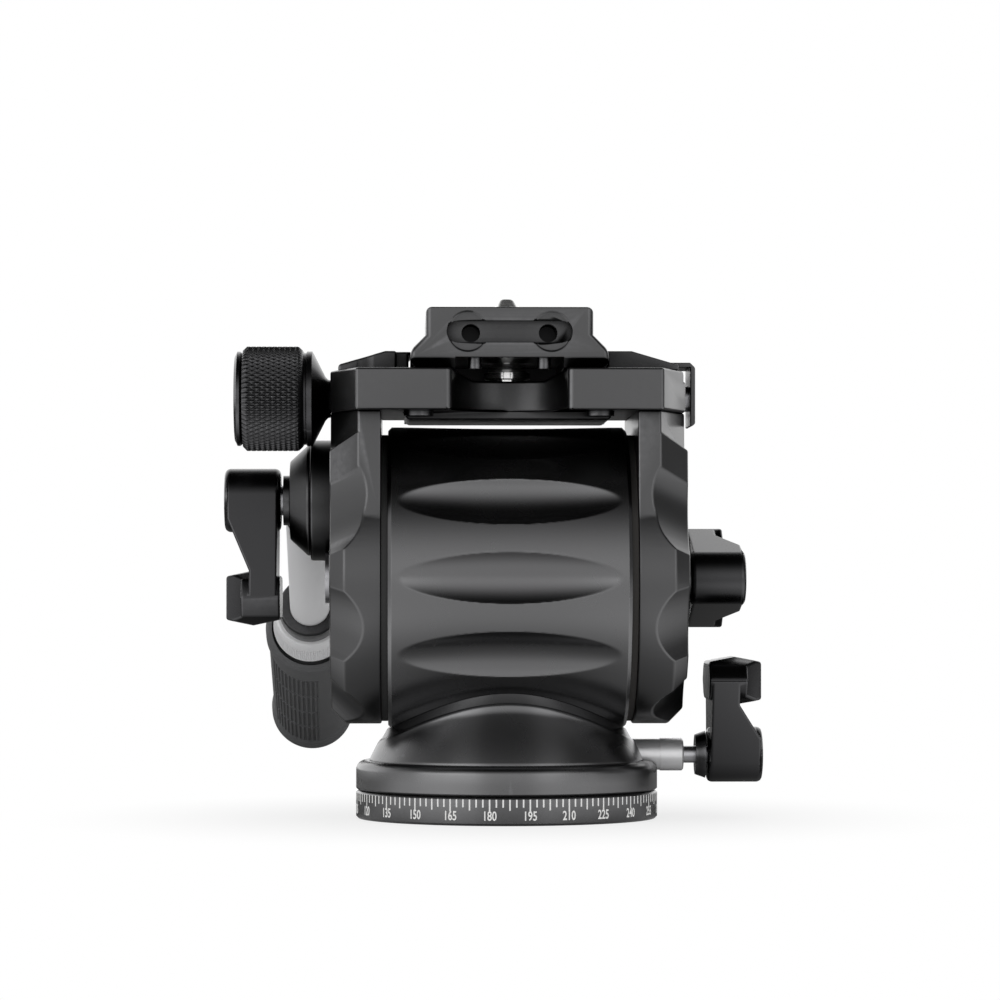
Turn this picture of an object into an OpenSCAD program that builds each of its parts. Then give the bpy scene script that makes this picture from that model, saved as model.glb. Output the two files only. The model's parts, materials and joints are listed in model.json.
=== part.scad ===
// Fluid video head with a dovetail camera clamp and a telescopic pan handle.
// Millimetres. Origin at the centre of the base, +Z up, the lens side is -Y.

/* [Base and pan] */
// Radius of the graduated base ring
base_r = 30; // [27:0.5:36]
// Height of the graduated base ring
base_h = 5.5; // [4.5:0.1:8]
// Radius of the tapped hole for the tripod screw, at its crests
tripod_hole_r = 4; // [3:0.05:4.5]
// Outer radius of the steel insert that holds the tripod thread
insert_r = 7; // [6:0.1:9]
// Gap between the base ring and the turning housing
pan_gap = 0.3; // [0.2:0.05:0.8]
// Height of the straight band of the pan housing
pan_band_h = 4.1; // [3:0.1:6]
// Height of the grease space over the base
cavity_h = 2.8; // [2.4:0.1:5]
// Wall of the pan housing round the grease space
rim_wall = 5.5; // [5:0.1:6.5]
// Length of the plain bearing on the spindle
pan_hub_len = 6.4; // [5.5:0.1:10]
// Radius of the spindle in the plain bearing
spindle_r = 9; // [8:0.1:11]
// Thickness of the spindle's foot
spindle_foot_t = 1.7; // [1.2:0.1:2]
// Depth of the pocket that holds the retaining ring
ring_pocket_h = 2.65; // [2.4:0.05:4]
// Running clearance on round fits, on the radius
run_fit = 0.03; // [0.02:0.01:0.05]
// Clearance of pieces that are fastened together, on the radius
seat_fit = 0.02; // [0.01:0.01:0.04]

/* [Pan lock] */
// Radius of the silver sleeve
sleeve_r = 3.25; // [2.9:0.05:3.4]
// How far the sleeve stands out past the base ring
sleeve_reach = 5.2; // [4:0.1:8]
// Radius of the pan lock screw
pan_stud_r = 1.7; // [1.4:0.05:2]
// Radius of the brake pad
pad_r = 2.4; // [2.1:0.05:2.6]
// Length of bare screw between the sleeve and the collar
stud_gap = 2.4; // [1.5:0.1:4]
// Length of the conical collar under the lever
collar_len = 2.3; // [1.5:0.1:4]

/* [Tilt drum] */
// Radius of the drum
drum_r = 30; // [28:0.5:33]
// Width of the drum
drum_w = 47.2; // [44:0.2:52]
// Number of scallops round a full turn of the drum
scallops = 12; // [8:1:12]
// Length of one scallop
scallop_len = 42.8; // [36:0.2:43.5]
// Depth of one scallop
scallop_depth = 2.2; // [1:0.1:2.6]
// Radius of the scallop across its length
scallop_r = 8; // [7:0.2:13]
// Radius of the fluid chamber
chamber_r = 21; // [20.4:0.1:21.4]
// Thickness of the drum's end walls
end_wall = 6.4; // [6:0.1:7.5]
// Radius of the drum cover
cover_r = 26; // [25.5:0.1:26.2]
// Radius of the tilt shaft and the stub axle
shaft_r = 5; // [4.5:0.05:5.5]
// Outer radius of the ball bearings
bearing_r = 9.5; // [9:0.05:10]
// Width of the ball bearings
bearing_w = 5; // [4.5:0.1:5.2]

/* [Side plates] */
// Gap between the drum and each side plate
side_gap = 1.3; // [0.7:0.05:1.5]
// Thickness of a side plate
cheek_t = 10; // [9:0.1:13]
// Radius of a side plate's round end
cheek_r = 29; // [27:0.2:29.5]
// Half depth of a side plate's upper block
cheek_half_d = 24.4; // [23.6:0.1:26]
// Chamfer round the outer rim of a side plate
rim_chamfer = 2.9; // [1.5:0.1:3.5]
// Number of scoops round a full turn of a side plate
scoops = 8; // [7:1:10]
// Radius of a scoop
scoop_r = 14.2; // [12:0.2:20]
// Depth of a scoop under the rim chamfer
scoop_depth = 2.6; // [1:0.1:2.8]
// Chamfer of the upper block's outer corners
block_chamfer = 5.6; // [3:0.1:6.5]

/* [Camera clamp] */
// Gap between the drum and the clamp's web
web_gap = 1; // [0.6:0.1:2]
// Drop of the web below the clamp's arms
web_drop = 1.5; // [1:0.1:2.5]
// Thickness of the clamp body
clamp_t = 8.1; // [7.6:0.1:10]
// Half depth of the clamp body
clamp_half_d = 27; // [26:0.2:30]
// Half width of the bites between the arms
bite_half_w = 11.2; // [9:0.1:12]
// Depth of the bites between the arms
bite_depth = 12; // [9:0.2:13]
// Depth of the channel in the web
channel_d = 2.1; // [1.8:0.1:2.2]
// Half length of the jaws
jaw_half_len = 16; // [14:0.5:17]
// Height of the jaws over the clamp body
jaw_h = 3.8; // [3.6:0.1:5]
// Radius of the draw bolt
bolt_r = 2.5; // [2:0.05:2.6]
// Height of the draw bolt over the clamp's underside
bolt_h = 3.2; // [3.1:0.05:3.4]
// Rounding of the arms' inner corners
arm_round = 1.2; // [0.5:0.1:2.5]
// Clearance of sliding flat faces
slide_fit = 0.05; // [0.03:0.01:0.1]
// Thickness of the movable jaw's leg
leg_t = 1; // [0.8:0.1:2]
// Gap between the leg and the clamp body
leg_gap = 1.3; // [0.8:0.1:2]

/* [Clamp knob] */
// Radius of the knob over its knurl
knob_r = 10.4; // [9:0.1:12]
// Length of the knurled band
knurl_len = 12; // [9:0.2:15]

/* [Camera plate] */
// Width of the dovetail over its lower edges
dovetail_w = 38.5; // [37.5:0.1:39.5]
// Length of the camera plate
plate_len = 50; // [46:0.5:60]
// Thickness of the camera plate
plate_t = 11.75; // [11:0.05:13]
// Height of the dovetail's straight edge
edge_h = 3.3; // [3.1:0.05:3.6]
// Rise of the dovetail's 45 degree flank
flank_h = 3.05; // [2.4:0.05:3.4]
// Half width of the channel under the camera plate
plate_channel_half_w = 10.5; // [9:0.1:12]
// Height of the channel under the camera plate
plate_channel_h = 2; // [1.8:0.1:3]
// Bevel under the plate's two ends
end_bevel = 2; // [1:0.1:2.5]
// Radius of the camera screw's thread
camera_screw_r = 3.175; // [2.9:0.005:3.3]
// Height of the camera screw's tip over the plate
screw_reach = 3.1; // [2:0.1:6]

/* [Handle] */
// Distance of the rosette behind the tilt axis
rosette_back = 8; // [5:0.2:9]
// Height of the rosette over the tilt axis
rosette_up = 15.6; // [15.4:0.1:18]
// Radius of the rosette
rosette_r = 12.1; // [10.5:0.1:12.2]
// Thickness of the rosette
rosette_t = 4.3; // [3:0.1:6]
// Thickness of the handle's head
head_t = 4.1; // [3.5:0.1:5]
// Angle that the handle droops towards its end
handle_droop = 12.2; // [0:0.1:25]
// Angle that the handle spreads outwards
handle_splay = 1.1; // [0:0.1:3]
// Radius of the handle tube
tube_r = 4.5; // [4:0.05:4.75]
// Wall of the handle tube
tube_wall = 1; // [0.8:0.05:1.4]
// Distance from the rosette to the grip's collar
collar_u = 104; // [80:1:130]
// Length of the handle from the rosette to its end
handle_len = 239; // [210:1:300]
// Length of the twist ring
twist_len = 15.5; // [10:0.5:20]
// Radius of the grip
grip_r = 10.4; // [9:0.1:12]
// Number of finger grooves round the grip
grip_grooves = 4; // [2:1:8]

/* [Levers] */
// Hub radius of the pan and tilt levers
hub_r = 5.5; // [5:0.05:6]
// Hub length of the pan and tilt levers
hub_len = 11; // [9:0.1:13]
// Distance from hub to thumb bar on the pan and tilt levers
arm_len = 14.8; // [13:0.1:18]
// Size of the handle lever over the pan and tilt levers
big_lever = 1.16; // [1:0.01:1.3]
// Hub length of the handle lever
big_hub_len = 11.3; // [10:0.1:14]
// Distance from hub to thumb bar on the handle lever
big_arm_len = 19.6; // [16:0.1:22]
// Width of a thumb bar
bar_w = 20; // [16:0.2:20.4]

/* [Hidden] */
$fn = 48;
// Small overlap that keeps unions and cuts clean
eps = 0.01;
// Reach of cutters that pass right through
far = 100;

// Heights, from the table up
housing_z = base_h + pan_gap;
cavity_top = housing_z + cavity_h;
hub_top = cavity_top + pan_hub_len;
saddle_z = hub_top + ring_pocket_h;
saddle_gap = 0.05;
axis_z = saddle_z + saddle_gap + drum_r;
clamp_z = axis_z + drum_r + web_gap + web_drop;
clamp_top = clamp_z + clamp_t;
plate_z = clamp_top + slide_fit;
plate_top = plate_z + plate_t;

// Pan fit pieces
cavity_r = base_r - rim_wall;
foot_r = cavity_r - 1;
foot_top = base_h + spindle_foot_t;
thrust_in_r = spindle_r + 5;
thrust_out_r = cavity_r - 2;
seal_r = base_r - 3;
seal_half_w = 0.95;
seal_h = 1.4;
ring_r = spindle_r + 2.2;
ring_groove_r = spindle_r - 0.8;
ring_z = hub_top + 0.7;
ring_t = 1.2;
pocket_r = ring_r + 0.8;
base_screw_circle = 15;
base_screw_r = 1.5;
base_screw_head_r = 2.8;
insert_hole_top = foot_top + 3;

// Pan lock, along +X
lock_z = hub_top - pad_r - 0.1;
pad_start = spindle_r + run_fit;
pad_len = 2.8;
sleeve_start = 19;
sleeve_end = base_r + sleeve_reach;
collar_x = sleeve_end + stud_gap;
pan_lever_x = collar_x + collar_len;
stud_bore_r = pan_stud_r + run_fit;

// Drum fastening
drum_screw_x = 14;
drum_screw_y = 10;
drum_screw_r = 2;
drum_head_r = 3.3;
drum_head_z = cavity_top + 0.3;
drum_head_h = 3.6;
drum_screw_top = saddle_z + 5.8;

// Tilt drum, along X
half_drum = drum_w / 2;
chamber_x = half_drum - end_wall;
bearing_x = -half_drum + 1.4;
cover_boss_x = chamber_x - bearing_w;
cover_boss_r = bearing_r + 2.5;
stub_flange_r = 9;
stub_flange_t = 4;
cover_screw_circle = (chamber_r + cover_r) / 2;
cover_screw_r = 1.5;
cover_screw_len = 7;
rotor_hub_r = shaft_r + 3;
rotor_disc_r = chamber_r - 2;
rotor_disc_t = 2;
rotor_pitch = 8;
rotor_first = -12;
stator_first = rotor_first + rotor_pitch / 2 - rotor_disc_t / 4;
scallop_bow = (pow(scallop_len / 2, 2) + pow(scallop_depth, 2)) / (2 * scallop_depth);
scallop_angles = [for (k = [-1:7]) k * 360 / scallops];

// Side plates
cheek_in = half_drum + side_gap;
cheek_out = cheek_in + cheek_t;
washer_play = 0.05;
gap_ring_r = drum_r - 1.5;
scoop_turn = 3;
scoop_angles = [for (k = [-3:1]) (k - 0.5) * 360 / scoops + scoop_turn];
cheek_rise = clamp_z - axis_z;
cheek_foot = cheek_half_d + 1.8;
crease_z = sqrt(pow(cheek_r, 2) - pow(cheek_foot, 2));
cheek_lean = atan2(cheek_foot - cheek_half_d, cheek_rise - crease_z);
cheek_front = cheek_foot * cos(cheek_lean) + crease_z * sin(cheek_lean);
chamfer_foot = crease_z * cos(cheek_lean) - cheek_foot * sin(cheek_lean) + 1.8;
chamfer_dip = 2;
taper_foot = chamfer_foot + 14.2;
taper_dip = 3;
cap_r = 14;
cap_t = 0.7;
cap_bore_r = shaft_r + 0.7;
tilt_lever_x = cheek_out + 1.7;
tilt_stud_r = 3;

// Clamp
bolt_z = clamp_z + bolt_h;
clamp_taper_y = 12;
clamp_taper_in = 5.2;
clamp_taper_slope = (clamp_half_d - clamp_taper_y) / clamp_taper_in;
web_half_w = 20.8;
channel_half_w = 7;
jaw_top = clamp_top + jaw_h;
dovetail_half = dovetail_w / 2;
edge_top = plate_z + edge_h;
jaw_lip = dovetail_half - (jaw_top - edge_top) + slide_fit * 1.6;
jaw_wall = dovetail_half + 0.3;
fixed_jaw_wall = dovetail_half + 2.65;
fixed_lip_half_len = jaw_half_len - 3.5;
jaw_crest = dovetail_half + 4.85;
jaw_toe = cheek_out - 1.6;
jaw_toe_h = 1.1;
leg_half_w = 7;
leg_x = cheek_out + leg_gap;
leg_top = clamp_top + 2.05;
leg_drop = 2.4;
tongue_y = 10;
tongue_half_w = 3;
tongue_d = 1.9;
tongue_start = dovetail_half + 4.75;
tongue_end = dovetail_half + 13.75;
clamp_bolt_x = cheek_in + 3.1;
clamp_bolt_y = 19;
clamp_bolt_r = 2;
clamp_head_r = 3.4;
clamp_head_h = 3.6;
clamp_bolt_len = 10;
arm_screw_x = 17.6;
arm_screw_y = 20;
arm_screw_r = 1.5;
arm_head_r = 2.9;
arm_head_h = 1;
arm_screw_len = 5;

// Knob, measured out from the clamp's left side
knob_foot = 0.1;
knob_neck_r = 3.7;
knob_cone = 3.6;
knob_collar = 4.8;
knurl_start = 5.6;
knurl_end = knurl_start + knurl_len;
knob_bevel = 0.6;
knob_collar_r = knob_r - 0.95;
knob_cap_t = 1.6;
knob_cap_r = knob_r - 1;
knob_spigot_r = 6;
knob_spigot_len = 2.4;
bolt_left = -cheek_out - knurl_end + knob_spigot_len + 1;

// Camera plate
plate_half_len = plate_len / 2;
block_half_w = dovetail_half - flank_h;
plate_bevel = 1.2;
plate_wall = 8;
key_gap = 0.3;
key_side_gap = 0.8;
slot_z = plate_z + 7;
slot_half_w = 12.2;
slot_half_h = 2.12;
slot_d = 2;
dish_x = 8.1;
dish_r = 4.1;
dish_d = 0.6;
dish_floor_r = 3.5;
key_hole_x = 7.5;
key_hole_r = 1.8;
key_hole_drop = 0.2;
key_hole_d = 11;
screw_bore_r = camera_screw_r + 0.1;
screw_cup_r = 5.2;
screw_cup_h = plate_channel_h + 1.1;
screw_head_r = 4.6;
screw_foot_r = 3.7;
screw_head_z = plate_z - 1.75;
screw_head_h = 2;
screw_dome_r = 3.85;
screw_neck_r = 2.5;
screw_neck_top = plate_z + screw_cup_h - 0.1;
screw_tip_r = 1.55;
screw_cone_h = 2.4;
retainer_z = plate_z + plate_channel_h + 0.1;
retainer_t = 0.8;
stop_x = 6.7;
stop_y = plate_half_len - 3;
stop_r = 1.3;
stop_drop = 0.1;
stop_len = plate_channel_h + 1.8;

// Lever proportions
hub_chamfer = 0.6;
throat_share = 0.55;
bar_h = 9.5;
bar_len_share = 0.96;
bar_crown = 1;
bar_edge = 0.8;
bar_step = 1.8;
bar_step_drop = 1.8;
bar_bevel = 5.2;
bar_tip_share = 0.69;
bar_flat_w = 5.4;
bar_tip_w = 7.8;

// Handle, in its own frame: U runs from the rosette along the tube
rosette_z = axis_z + rosette_up;
rosette_out = -cheek_out - rosette_t;
head_in = rosette_out - slide_fit;
head_out = head_in - head_t;
head_r = rosette_r - 1;
head_rim_r = 7.8;
lug_half_h = 4.5;
tube_x = -cheek_out - 5.1;
tube_start = rosette_r + 1.9;
spigot_len = 12;
tube_end = handle_len - 24;
bush_len = 12;
core_r = 6.45;
core_bore_r = tube_r + 1.2;
core_collar_r = 6.9;
neck_len = 8;
neck_fit = 0.08;
twist_u = collar_u + 7;
grip_u = twist_u + twist_len + 1.5;
grip_end = handle_len - 5;
grip_bead_len = 8;
groove_pitch = (grip_end - grip_u - 3 * grip_bead_len) / grip_grooves;
groove_w = 1.6;
groove_d = 0.9;
rosette_stud_r = 3;
washer_r = 5;
washer_t = 1.3;
big_lever_reach = norm([bar_w / 2, big_arm_len + bar_h * big_lever / 2]);
big_lever_x = min(head_out - washer_t - slide_fit,
                  tube_x - tube_r - big_lever_reach * sin(handle_splay)) - 0.15;
stud_depth = 8;

// Cylinder along X
module x_rod(r, x0, x1) {
    translate([x0, 0, 0])
        rotate([0, 90, 0])
            cylinder(r = r, h = x1 - x0);
}

// Body turned about X, from points of place and radius
module x_turn(points) {
    rotate([0, 90, 0])
        rotate_extrude()
            polygon([for (p = points) [p[1], p[0]]]);
}

// Ring about X
module x_ring(r_in, r_out, x0, x1) {
    x_turn([[x0, r_in], [x0, r_out], [x1, r_out], [x1, r_in]]);
}

// Outline in Y and Z, drawn out along X
module yz_prism(x0, x1) {
    translate([x0, 0, 0])
        rotate([90, 0, 90])
            linear_extrude(x1 - x0)
                children();
}

// Outline in X and Z, drawn out along Y
module xz_prism(y0, y1) {
    translate([0, y1, 0])
        rotate([90, 0, 0])
            linear_extrude(y1 - y0)
                children();
}

// Ring about Z
module z_ring(r_in, r_out, z0, z1) {
    translate([0, 0, z0])
        difference() {
            cylinder(r = r_out, h = z1 - z0);
            translate([0, 0, -eps])
                cylinder(r = r_in, h = z1 - z0 + 2 * eps);
        }
}

module on_axis() {
    translate([0, 0, axis_z])
        children();
}

module on_lock() {
    translate([0, 0, lock_z])
        children();
}

module on_rosette() {
    translate([0, rosette_back, rosette_z])
        children();
}

module on_handle() {
    on_rosette()
        rotate([-handle_droop, 0, 0])
            children();
}

// Body turned about the handle tube, from points of place and radius
module u_turn(points) {
    on_handle()
        translate([tube_x, 0, 0])
            rotate([-90, 0, handle_splay])
                rotate_extrude()
                    polygon([for (p = points) [p[1], p[0]]]);
}

module both_sides() {
    children();
    mirror([1, 0, 0])
        children();
}

module both_ends() {
    children();
    mirror([0, 1, 0])
        children();
}

module four_corners() {
    both_sides()
        both_ends()
            children();
}

// Deep groove ball bearing with shields, its axis along X
module bearing(x0) {
    shield = 0.35;
    land = 1.3;
    x1 = x0 + bearing_w;
    r_in = shaft_r + run_fit;
    r_out = bearing_r - seat_fit;
    x_turn([[x0, r_in], [x0, r_in + land], [x0 + shield, r_in + land],
            [x0 + shield, r_out - land], [x0, r_out - land], [x0, r_out],
            [x1, r_out], [x1, r_out - land], [x1 - shield, r_out - land],
            [x1 - shield, r_in + land], [x1, r_in + land], [x1, r_in]]);
}

// Lock lever: hub along +X from the origin, arm along +Z, thumb bar across Y
module lever(grow, len, arm, stud_r) {
    r = hub_r * grow;
    c = hub_chamfer * grow;
    throat = throat_share * len;
    half_bar_h = bar_h * grow / 2;
    half_bar_w = bar_w / 2;
    bar_len = bar_len_share * len;
    bar_tip = bar_tip_share * len;
    crown = bar_crown * grow;
    bore_len = len - 2;
    front_z = arm - bar_edge / 2;
    touch = atan2(front_z, half_bar_w) - acos(r / norm([half_bar_w, front_z]));
    step_w = half_bar_w - bar_step;
    step_h = half_bar_h - bar_step_drop;
    difference() {
        union() {
            x_turn([[0, 0], [0, r - c], [c, r], [len - c, r], [len, r - c], [len, 0]]);
            intersection() {
                xz_prism(-half_bar_w, half_bar_w)
                    polygon([[c, -r / 2], [len - c, -r / 2], [len - c, r * 0.6],
                             [throat, arm - half_bar_h], [throat, arm], [c, arm]]);
                yz_prism(0, len)
                    polygon([[-r * cos(touch), r * sin(touch)], [r * cos(touch), r * sin(touch)],
                             [half_bar_w, front_z], [half_bar_w, arm], [-half_bar_w, arm],
                             [-half_bar_w, front_z]]);
            }
            translate([0, 0, arm])
                intersection() {
                    xz_prism(-half_bar_w, half_bar_w)
                        polygon([[0, crown - half_bar_h], [bar_len / 2, -half_bar_h],
                                 [bar_len, crown - half_bar_h], [bar_len, half_bar_h - crown],
                                 [bar_len / 2, half_bar_h], [0, half_bar_h - crown]]);
                    translate([0, 0, -half_bar_h - 1])
                        linear_extrude(2 * half_bar_h + 2)
                            polygon([[0, -half_bar_w], [bar_tip, -half_bar_w],
                                     [bar_tip, -bar_tip_w], [bar_len, -bar_flat_w],
                                     [bar_len, bar_flat_w], [bar_tip, bar_tip_w],
                                     [bar_tip, half_bar_w], [0, half_bar_w]]);
                    yz_prism(0, bar_len)
                        polygon([for (s = [[1, 1], [-1, 1], [-1, -1], [1, -1]],
                                      p = s[0] * s[1] > 0 ? [0, 1, 2] : [2, 1, 0])
                                 p == 0 ? [s[0] * half_bar_w, s[1] * bar_edge / 2]
                                 : p == 1 ? [s[0] * step_w, s[1] * step_h]
                                 : [s[0] * (half_bar_w - bar_bevel), s[1] * half_bar_h]]);
                }
        }
        x_rod(stud_r, -eps, bore_len);
    }
}

module base_ring() {
    edge = 0.4;
    color("#1b1b1d")
        difference() {
            rotate_extrude()
                polygon([[insert_r + seat_fit, 0], [base_r - edge, 0], [base_r, edge],
                         [base_r, base_h - edge], [base_r - edge, base_h],
                         [insert_r + seat_fit, base_h]]);
            for (a = [0, 120, 240])
                rotate([0, 0, a])
                    translate([base_screw_circle, 0, 0]) {
                        translate([0, 0, -eps])
                            cylinder(r = base_screw_r + 0.1, h = base_h + 2 * eps);
                        translate([0, 0, -eps])
                            cylinder(r = base_screw_head_r + 0.1, h = 2.6);
                    }
        }
}

module thread_insert() {
    color("#9a9a9c")
        z_ring(tripod_hole_r, insert_r, 0, base_h);
}

module pan_spindle() {
    color("#8c8c90")
        difference() {
            union() {
                translate([0, 0, base_h])
                    cylinder(r = foot_r, h = spindle_foot_t);
                translate([0, 0, base_h])
                    cylinder(r = spindle_r, h = saddle_z - 0.3 - base_h);
            }
            translate([0, 0, base_h - eps])
                cylinder(r = tripod_hole_r, h = insert_hole_top - base_h);
            z_ring(ring_groove_r, spindle_r + 1, ring_z, ring_z + ring_t + 0.1);
            for (a = [0, 120, 240])
                rotate([0, 0, a])
                    translate([base_screw_circle, 0, base_h - eps])
                        cylinder(r = base_screw_r + seat_fit, h = 1.3);
        }
}

module base_screws() {
    color("#8c8c90")
        for (a = [0, 120, 240])
            rotate([0, 0, a])
                translate([base_screw_circle, 0, 0]) {
                    translate([0, 0, 0.3])
                        cylinder(r = base_screw_head_r, h = 2.2);
                    translate([0, 0, 0.3])
                        cylinder(r = base_screw_r, h = base_h + 0.9);
                }
}

module pan_seal() {
    color("#101010")
        z_ring(seal_r - seal_half_w, seal_r + seal_half_w, base_h, base_h + seal_h);
}

module pan_thrust_bearing() {
    color("#b8b8b8")
        z_ring(thrust_in_r, thrust_out_r, foot_top, cavity_top - washer_play);
}

// Outer form of the pan housing, drawn in by an inset
module dome(inset) {
    rotate_extrude()
        polygon([[0, housing_z], [base_r - inset, housing_z],
                 [base_r - inset, housing_z + pan_band_h],
                 [base_r - 2 - inset, housing_z + pan_band_h + 1.6],
                 [base_r - 2.6 - inset, housing_z + pan_band_h + 1.8],
                 [base_r - 6.3 - inset, saddle_z + 0.75],
                 [base_r - 9.2 - inset, saddle_z + 6.35],
                 [base_r - 10.4 - inset, saddle_z + 9.6], [0, saddle_z + 9.6]]);
}

module pan_housing() {
    lip_step = 0.8;
    lip_w = 3.3;
    color("#1b1b1d")
        difference() {
            union() {
                difference() {
                    dome(0);
                    on_axis()
                        x_rod(drum_r + lip_w, -far, far);
                }
                dome(lip_step);
            }
            on_axis()
                x_rod(drum_r + saddle_gap, -far, far);
            translate([0, 0, -eps])
                cylinder(r = cavity_r, h = cavity_top + eps);
            z_ring(seal_r - seal_half_w - 0.1, seal_r + seal_half_w + 0.1,
                   -eps, base_h + seal_h + 0.1);
            cylinder(r = spindle_r + run_fit, h = far);
            translate([0, 0, hub_top])
                cylinder(r = pocket_r, h = far);
            on_lock() {
                x_rod(pad_r + run_fit, 0, sleeve_start + eps);
                x_rod(sleeve_r + seat_fit, sleeve_start, far);
            }
            four_corners()
                translate([drum_screw_x, drum_screw_y, 0]) {
                    cylinder(r = drum_screw_r + 0.1, h = far);
                    cylinder(r = drum_head_r + 0.1, h = drum_head_z + drum_head_h);
                }
        }
}

module pan_thrust_washer() {
    color("#d8d4c4")
        z_ring(spindle_r + run_fit, ring_r, hub_top + washer_play, ring_z - washer_play);
}

module pan_retaining_ring() {
    gap_half_w = 2;
    color("#77777a")
        difference() {
            z_ring(ring_groove_r + run_fit, ring_r, ring_z + washer_play,
                   ring_z + washer_play + ring_t - 0.05);
            translate([0, -gap_half_w, 0])
                cube([far, 2 * gap_half_w, far]);
        }
}

module pan_lock_sleeve() {
    shoulder_x = base_r + 0.6;
    shoulder = 0.15;
    edge = 0.3;
    color("#c9cacc")
        on_lock()
            x_turn([[sleeve_start, stud_bore_r], [sleeve_start, sleeve_r - shoulder],
                    [shoulder_x, sleeve_r - shoulder], [shoulder_x, sleeve_r],
                    [sleeve_end - edge, sleeve_r], [sleeve_end, sleeve_r - edge],
                    [sleeve_end, stud_bore_r]]);
}

module pan_lock_pad() {
    color("#b08d3c")
        on_lock()
            difference() {
                x_rod(pad_r, 0, pad_start + pad_len);
                translate([0, 0, -far / 2])
                    cylinder(r = pad_start, h = far);
            }
}

module pan_lock_stud() {
    color("#c9cacc")
        on_lock()
            x_rod(pan_stud_r, pad_start + pad_len + washer_play, pan_lever_x + hub_len - 2.5);
}

module pan_lock_collar() {
    color("#1b1b1d")
        on_lock()
            x_turn([[collar_x, stud_bore_r], [collar_x, hub_r - 1.5],
                    [pan_lever_x - 0.3, hub_r - 0.8], [pan_lever_x - 0.3, stud_bore_r]]);
}

module pan_lever() {
    color("#232325")
        on_lock()
            translate([pan_lever_x, 0, 0])
                lever(1, hub_len, arm_len, stud_bore_r);
}

module drum_screws() {
    color("#8c8c90")
        four_corners()
            translate([drum_screw_x, drum_screw_y, 0]) {
                translate([0, 0, drum_head_z])
                    cylinder(r = drum_head_r, h = drum_head_h - 0.1);
                translate([0, 0, drum_head_z])
                    cylinder(r = drum_screw_r, h = drum_screw_top - drum_head_z);
            }
}

// Spindle-shaped cutter of one scallop, facing the lens at angle 0
module scallop(angle) {
    reach = drum_r + scallop_r - scallop_depth;
    half = scallop_len / 2 + 1;
    stations = [-1, -0.8, -0.55, -0.2, 0.2, 0.55, 0.8, 1];
    rotate([-angle, 0, 0])
        translate([0, -reach, 0])
            x_turn(concat([[-half, 0]],
                          [for (k = stations)
                              [k * half, scallop_r - pow(k * half, 2) / (2 * scallop_bow)]],
                          [[half, 0]]));
}

module tilt_drum() {
    edge = 0.7;
    color("#1b1b1d")
        difference() {
            on_axis()
                difference() {
                    x_turn([[-half_drum, 0], [-half_drum, drum_r - edge],
                            [edge - half_drum, drum_r], [half_drum - edge, drum_r],
                            [half_drum, drum_r - edge], [half_drum, 0]]);
                    x_rod(chamber_r, -chamber_x, far);
                    x_rod(cover_r + seat_fit, chamber_x, far);
                    x_rod(bearing_r, bearing_x, 0);
                    x_rod(bearing_r - 2.5, -far, 0);
                    for (a = scallop_angles)
                        scallop(a);
                    for (a = [30:60:330])
                        rotate([a, 0, 0])
                            translate([0, 0, cover_screw_circle])
                                x_rod(cover_screw_r + seat_fit, chamber_x - cover_screw_len, far);
                }
            four_corners()
                translate([drum_screw_x, drum_screw_y, 0])
                    cylinder(r = drum_screw_r + seat_fit, h = drum_screw_top + 0.4);
        }
}

module drum_cover() {
    color("#2a2a2c")
        on_axis()
            difference() {
                x_turn([[cover_boss_x, bearing_r], [cover_boss_x, cover_boss_r],
                        [chamber_x, cover_boss_r], [chamber_x, cover_r], [half_drum, cover_r],
                        [half_drum, stub_flange_r + seat_fit],
                        [half_drum - stub_flange_t, stub_flange_r + seat_fit],
                        [half_drum - stub_flange_t, 0], [chamber_x + 0.4, 0],
                        [chamber_x + 0.4, bearing_r]]);
                for (a = [30:60:330])
                    rotate([a, 0, 0])
                        translate([0, 0, cover_screw_circle]) {
                            x_rod(cover_screw_r + 0.1, 0, far);
                            x_rod(cover_screw_r + 0.7, half_drum - 2, far);
                        }
            }
}

module cover_screws() {
    color("#77777a")
        on_axis()
            for (a = [30:60:330])
                rotate([a, 0, 0])
                    translate([0, 0, cover_screw_circle]) {
                        x_rod(cover_screw_r, chamber_x - cover_screw_len + 0.3, half_drum - 1);
                        x_rod(cover_screw_r + 0.6, half_drum - 1.9, half_drum - 0.3);
                    }
}

module damper_rotor() {
    color("#b8b8b8")
        on_axis()
            difference() {
                union() {
                    x_rod(rotor_hub_r, rotor_first - 2, cover_boss_x - 2);
                    for (k = [0:2])
                        x_rod(rotor_disc_r, rotor_first + k * rotor_pitch,
                              rotor_first + k * rotor_pitch + rotor_disc_t);
                }
                x_rod(shaft_r + seat_fit, -far, far);
            }
}

module damper_stator() {
    color("#8c8c90")
        on_axis()
            for (k = [0:1])
                x_ring(rotor_hub_r + 1, chamber_r - seat_fit, stator_first + k * rotor_pitch,
                       stator_first + k * rotor_pitch + rotor_disc_t);
}

module tilt_shaft() {
    color("#9a9a9c")
        on_axis()
            difference() {
                x_rod(shaft_r, -cheek_out, chamber_x);
                x_rod(shaft_r / 2, -cheek_out - eps, -cheek_in);
            }
}

module shaft_bearing_left() {
    color("#b8b8b8")
        on_axis()
            bearing(bearing_x);
}

module shaft_bearing_right() {
    color("#b8b8b8")
        on_axis()
            bearing(cover_boss_x + 0.2);
}

module shaft_seal() {
    color("#101010")
        on_axis()
            x_ring(shaft_r + run_fit, bearing_r - 2.5 - seat_fit, -half_drum, bearing_x - 0.1);
}

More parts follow.
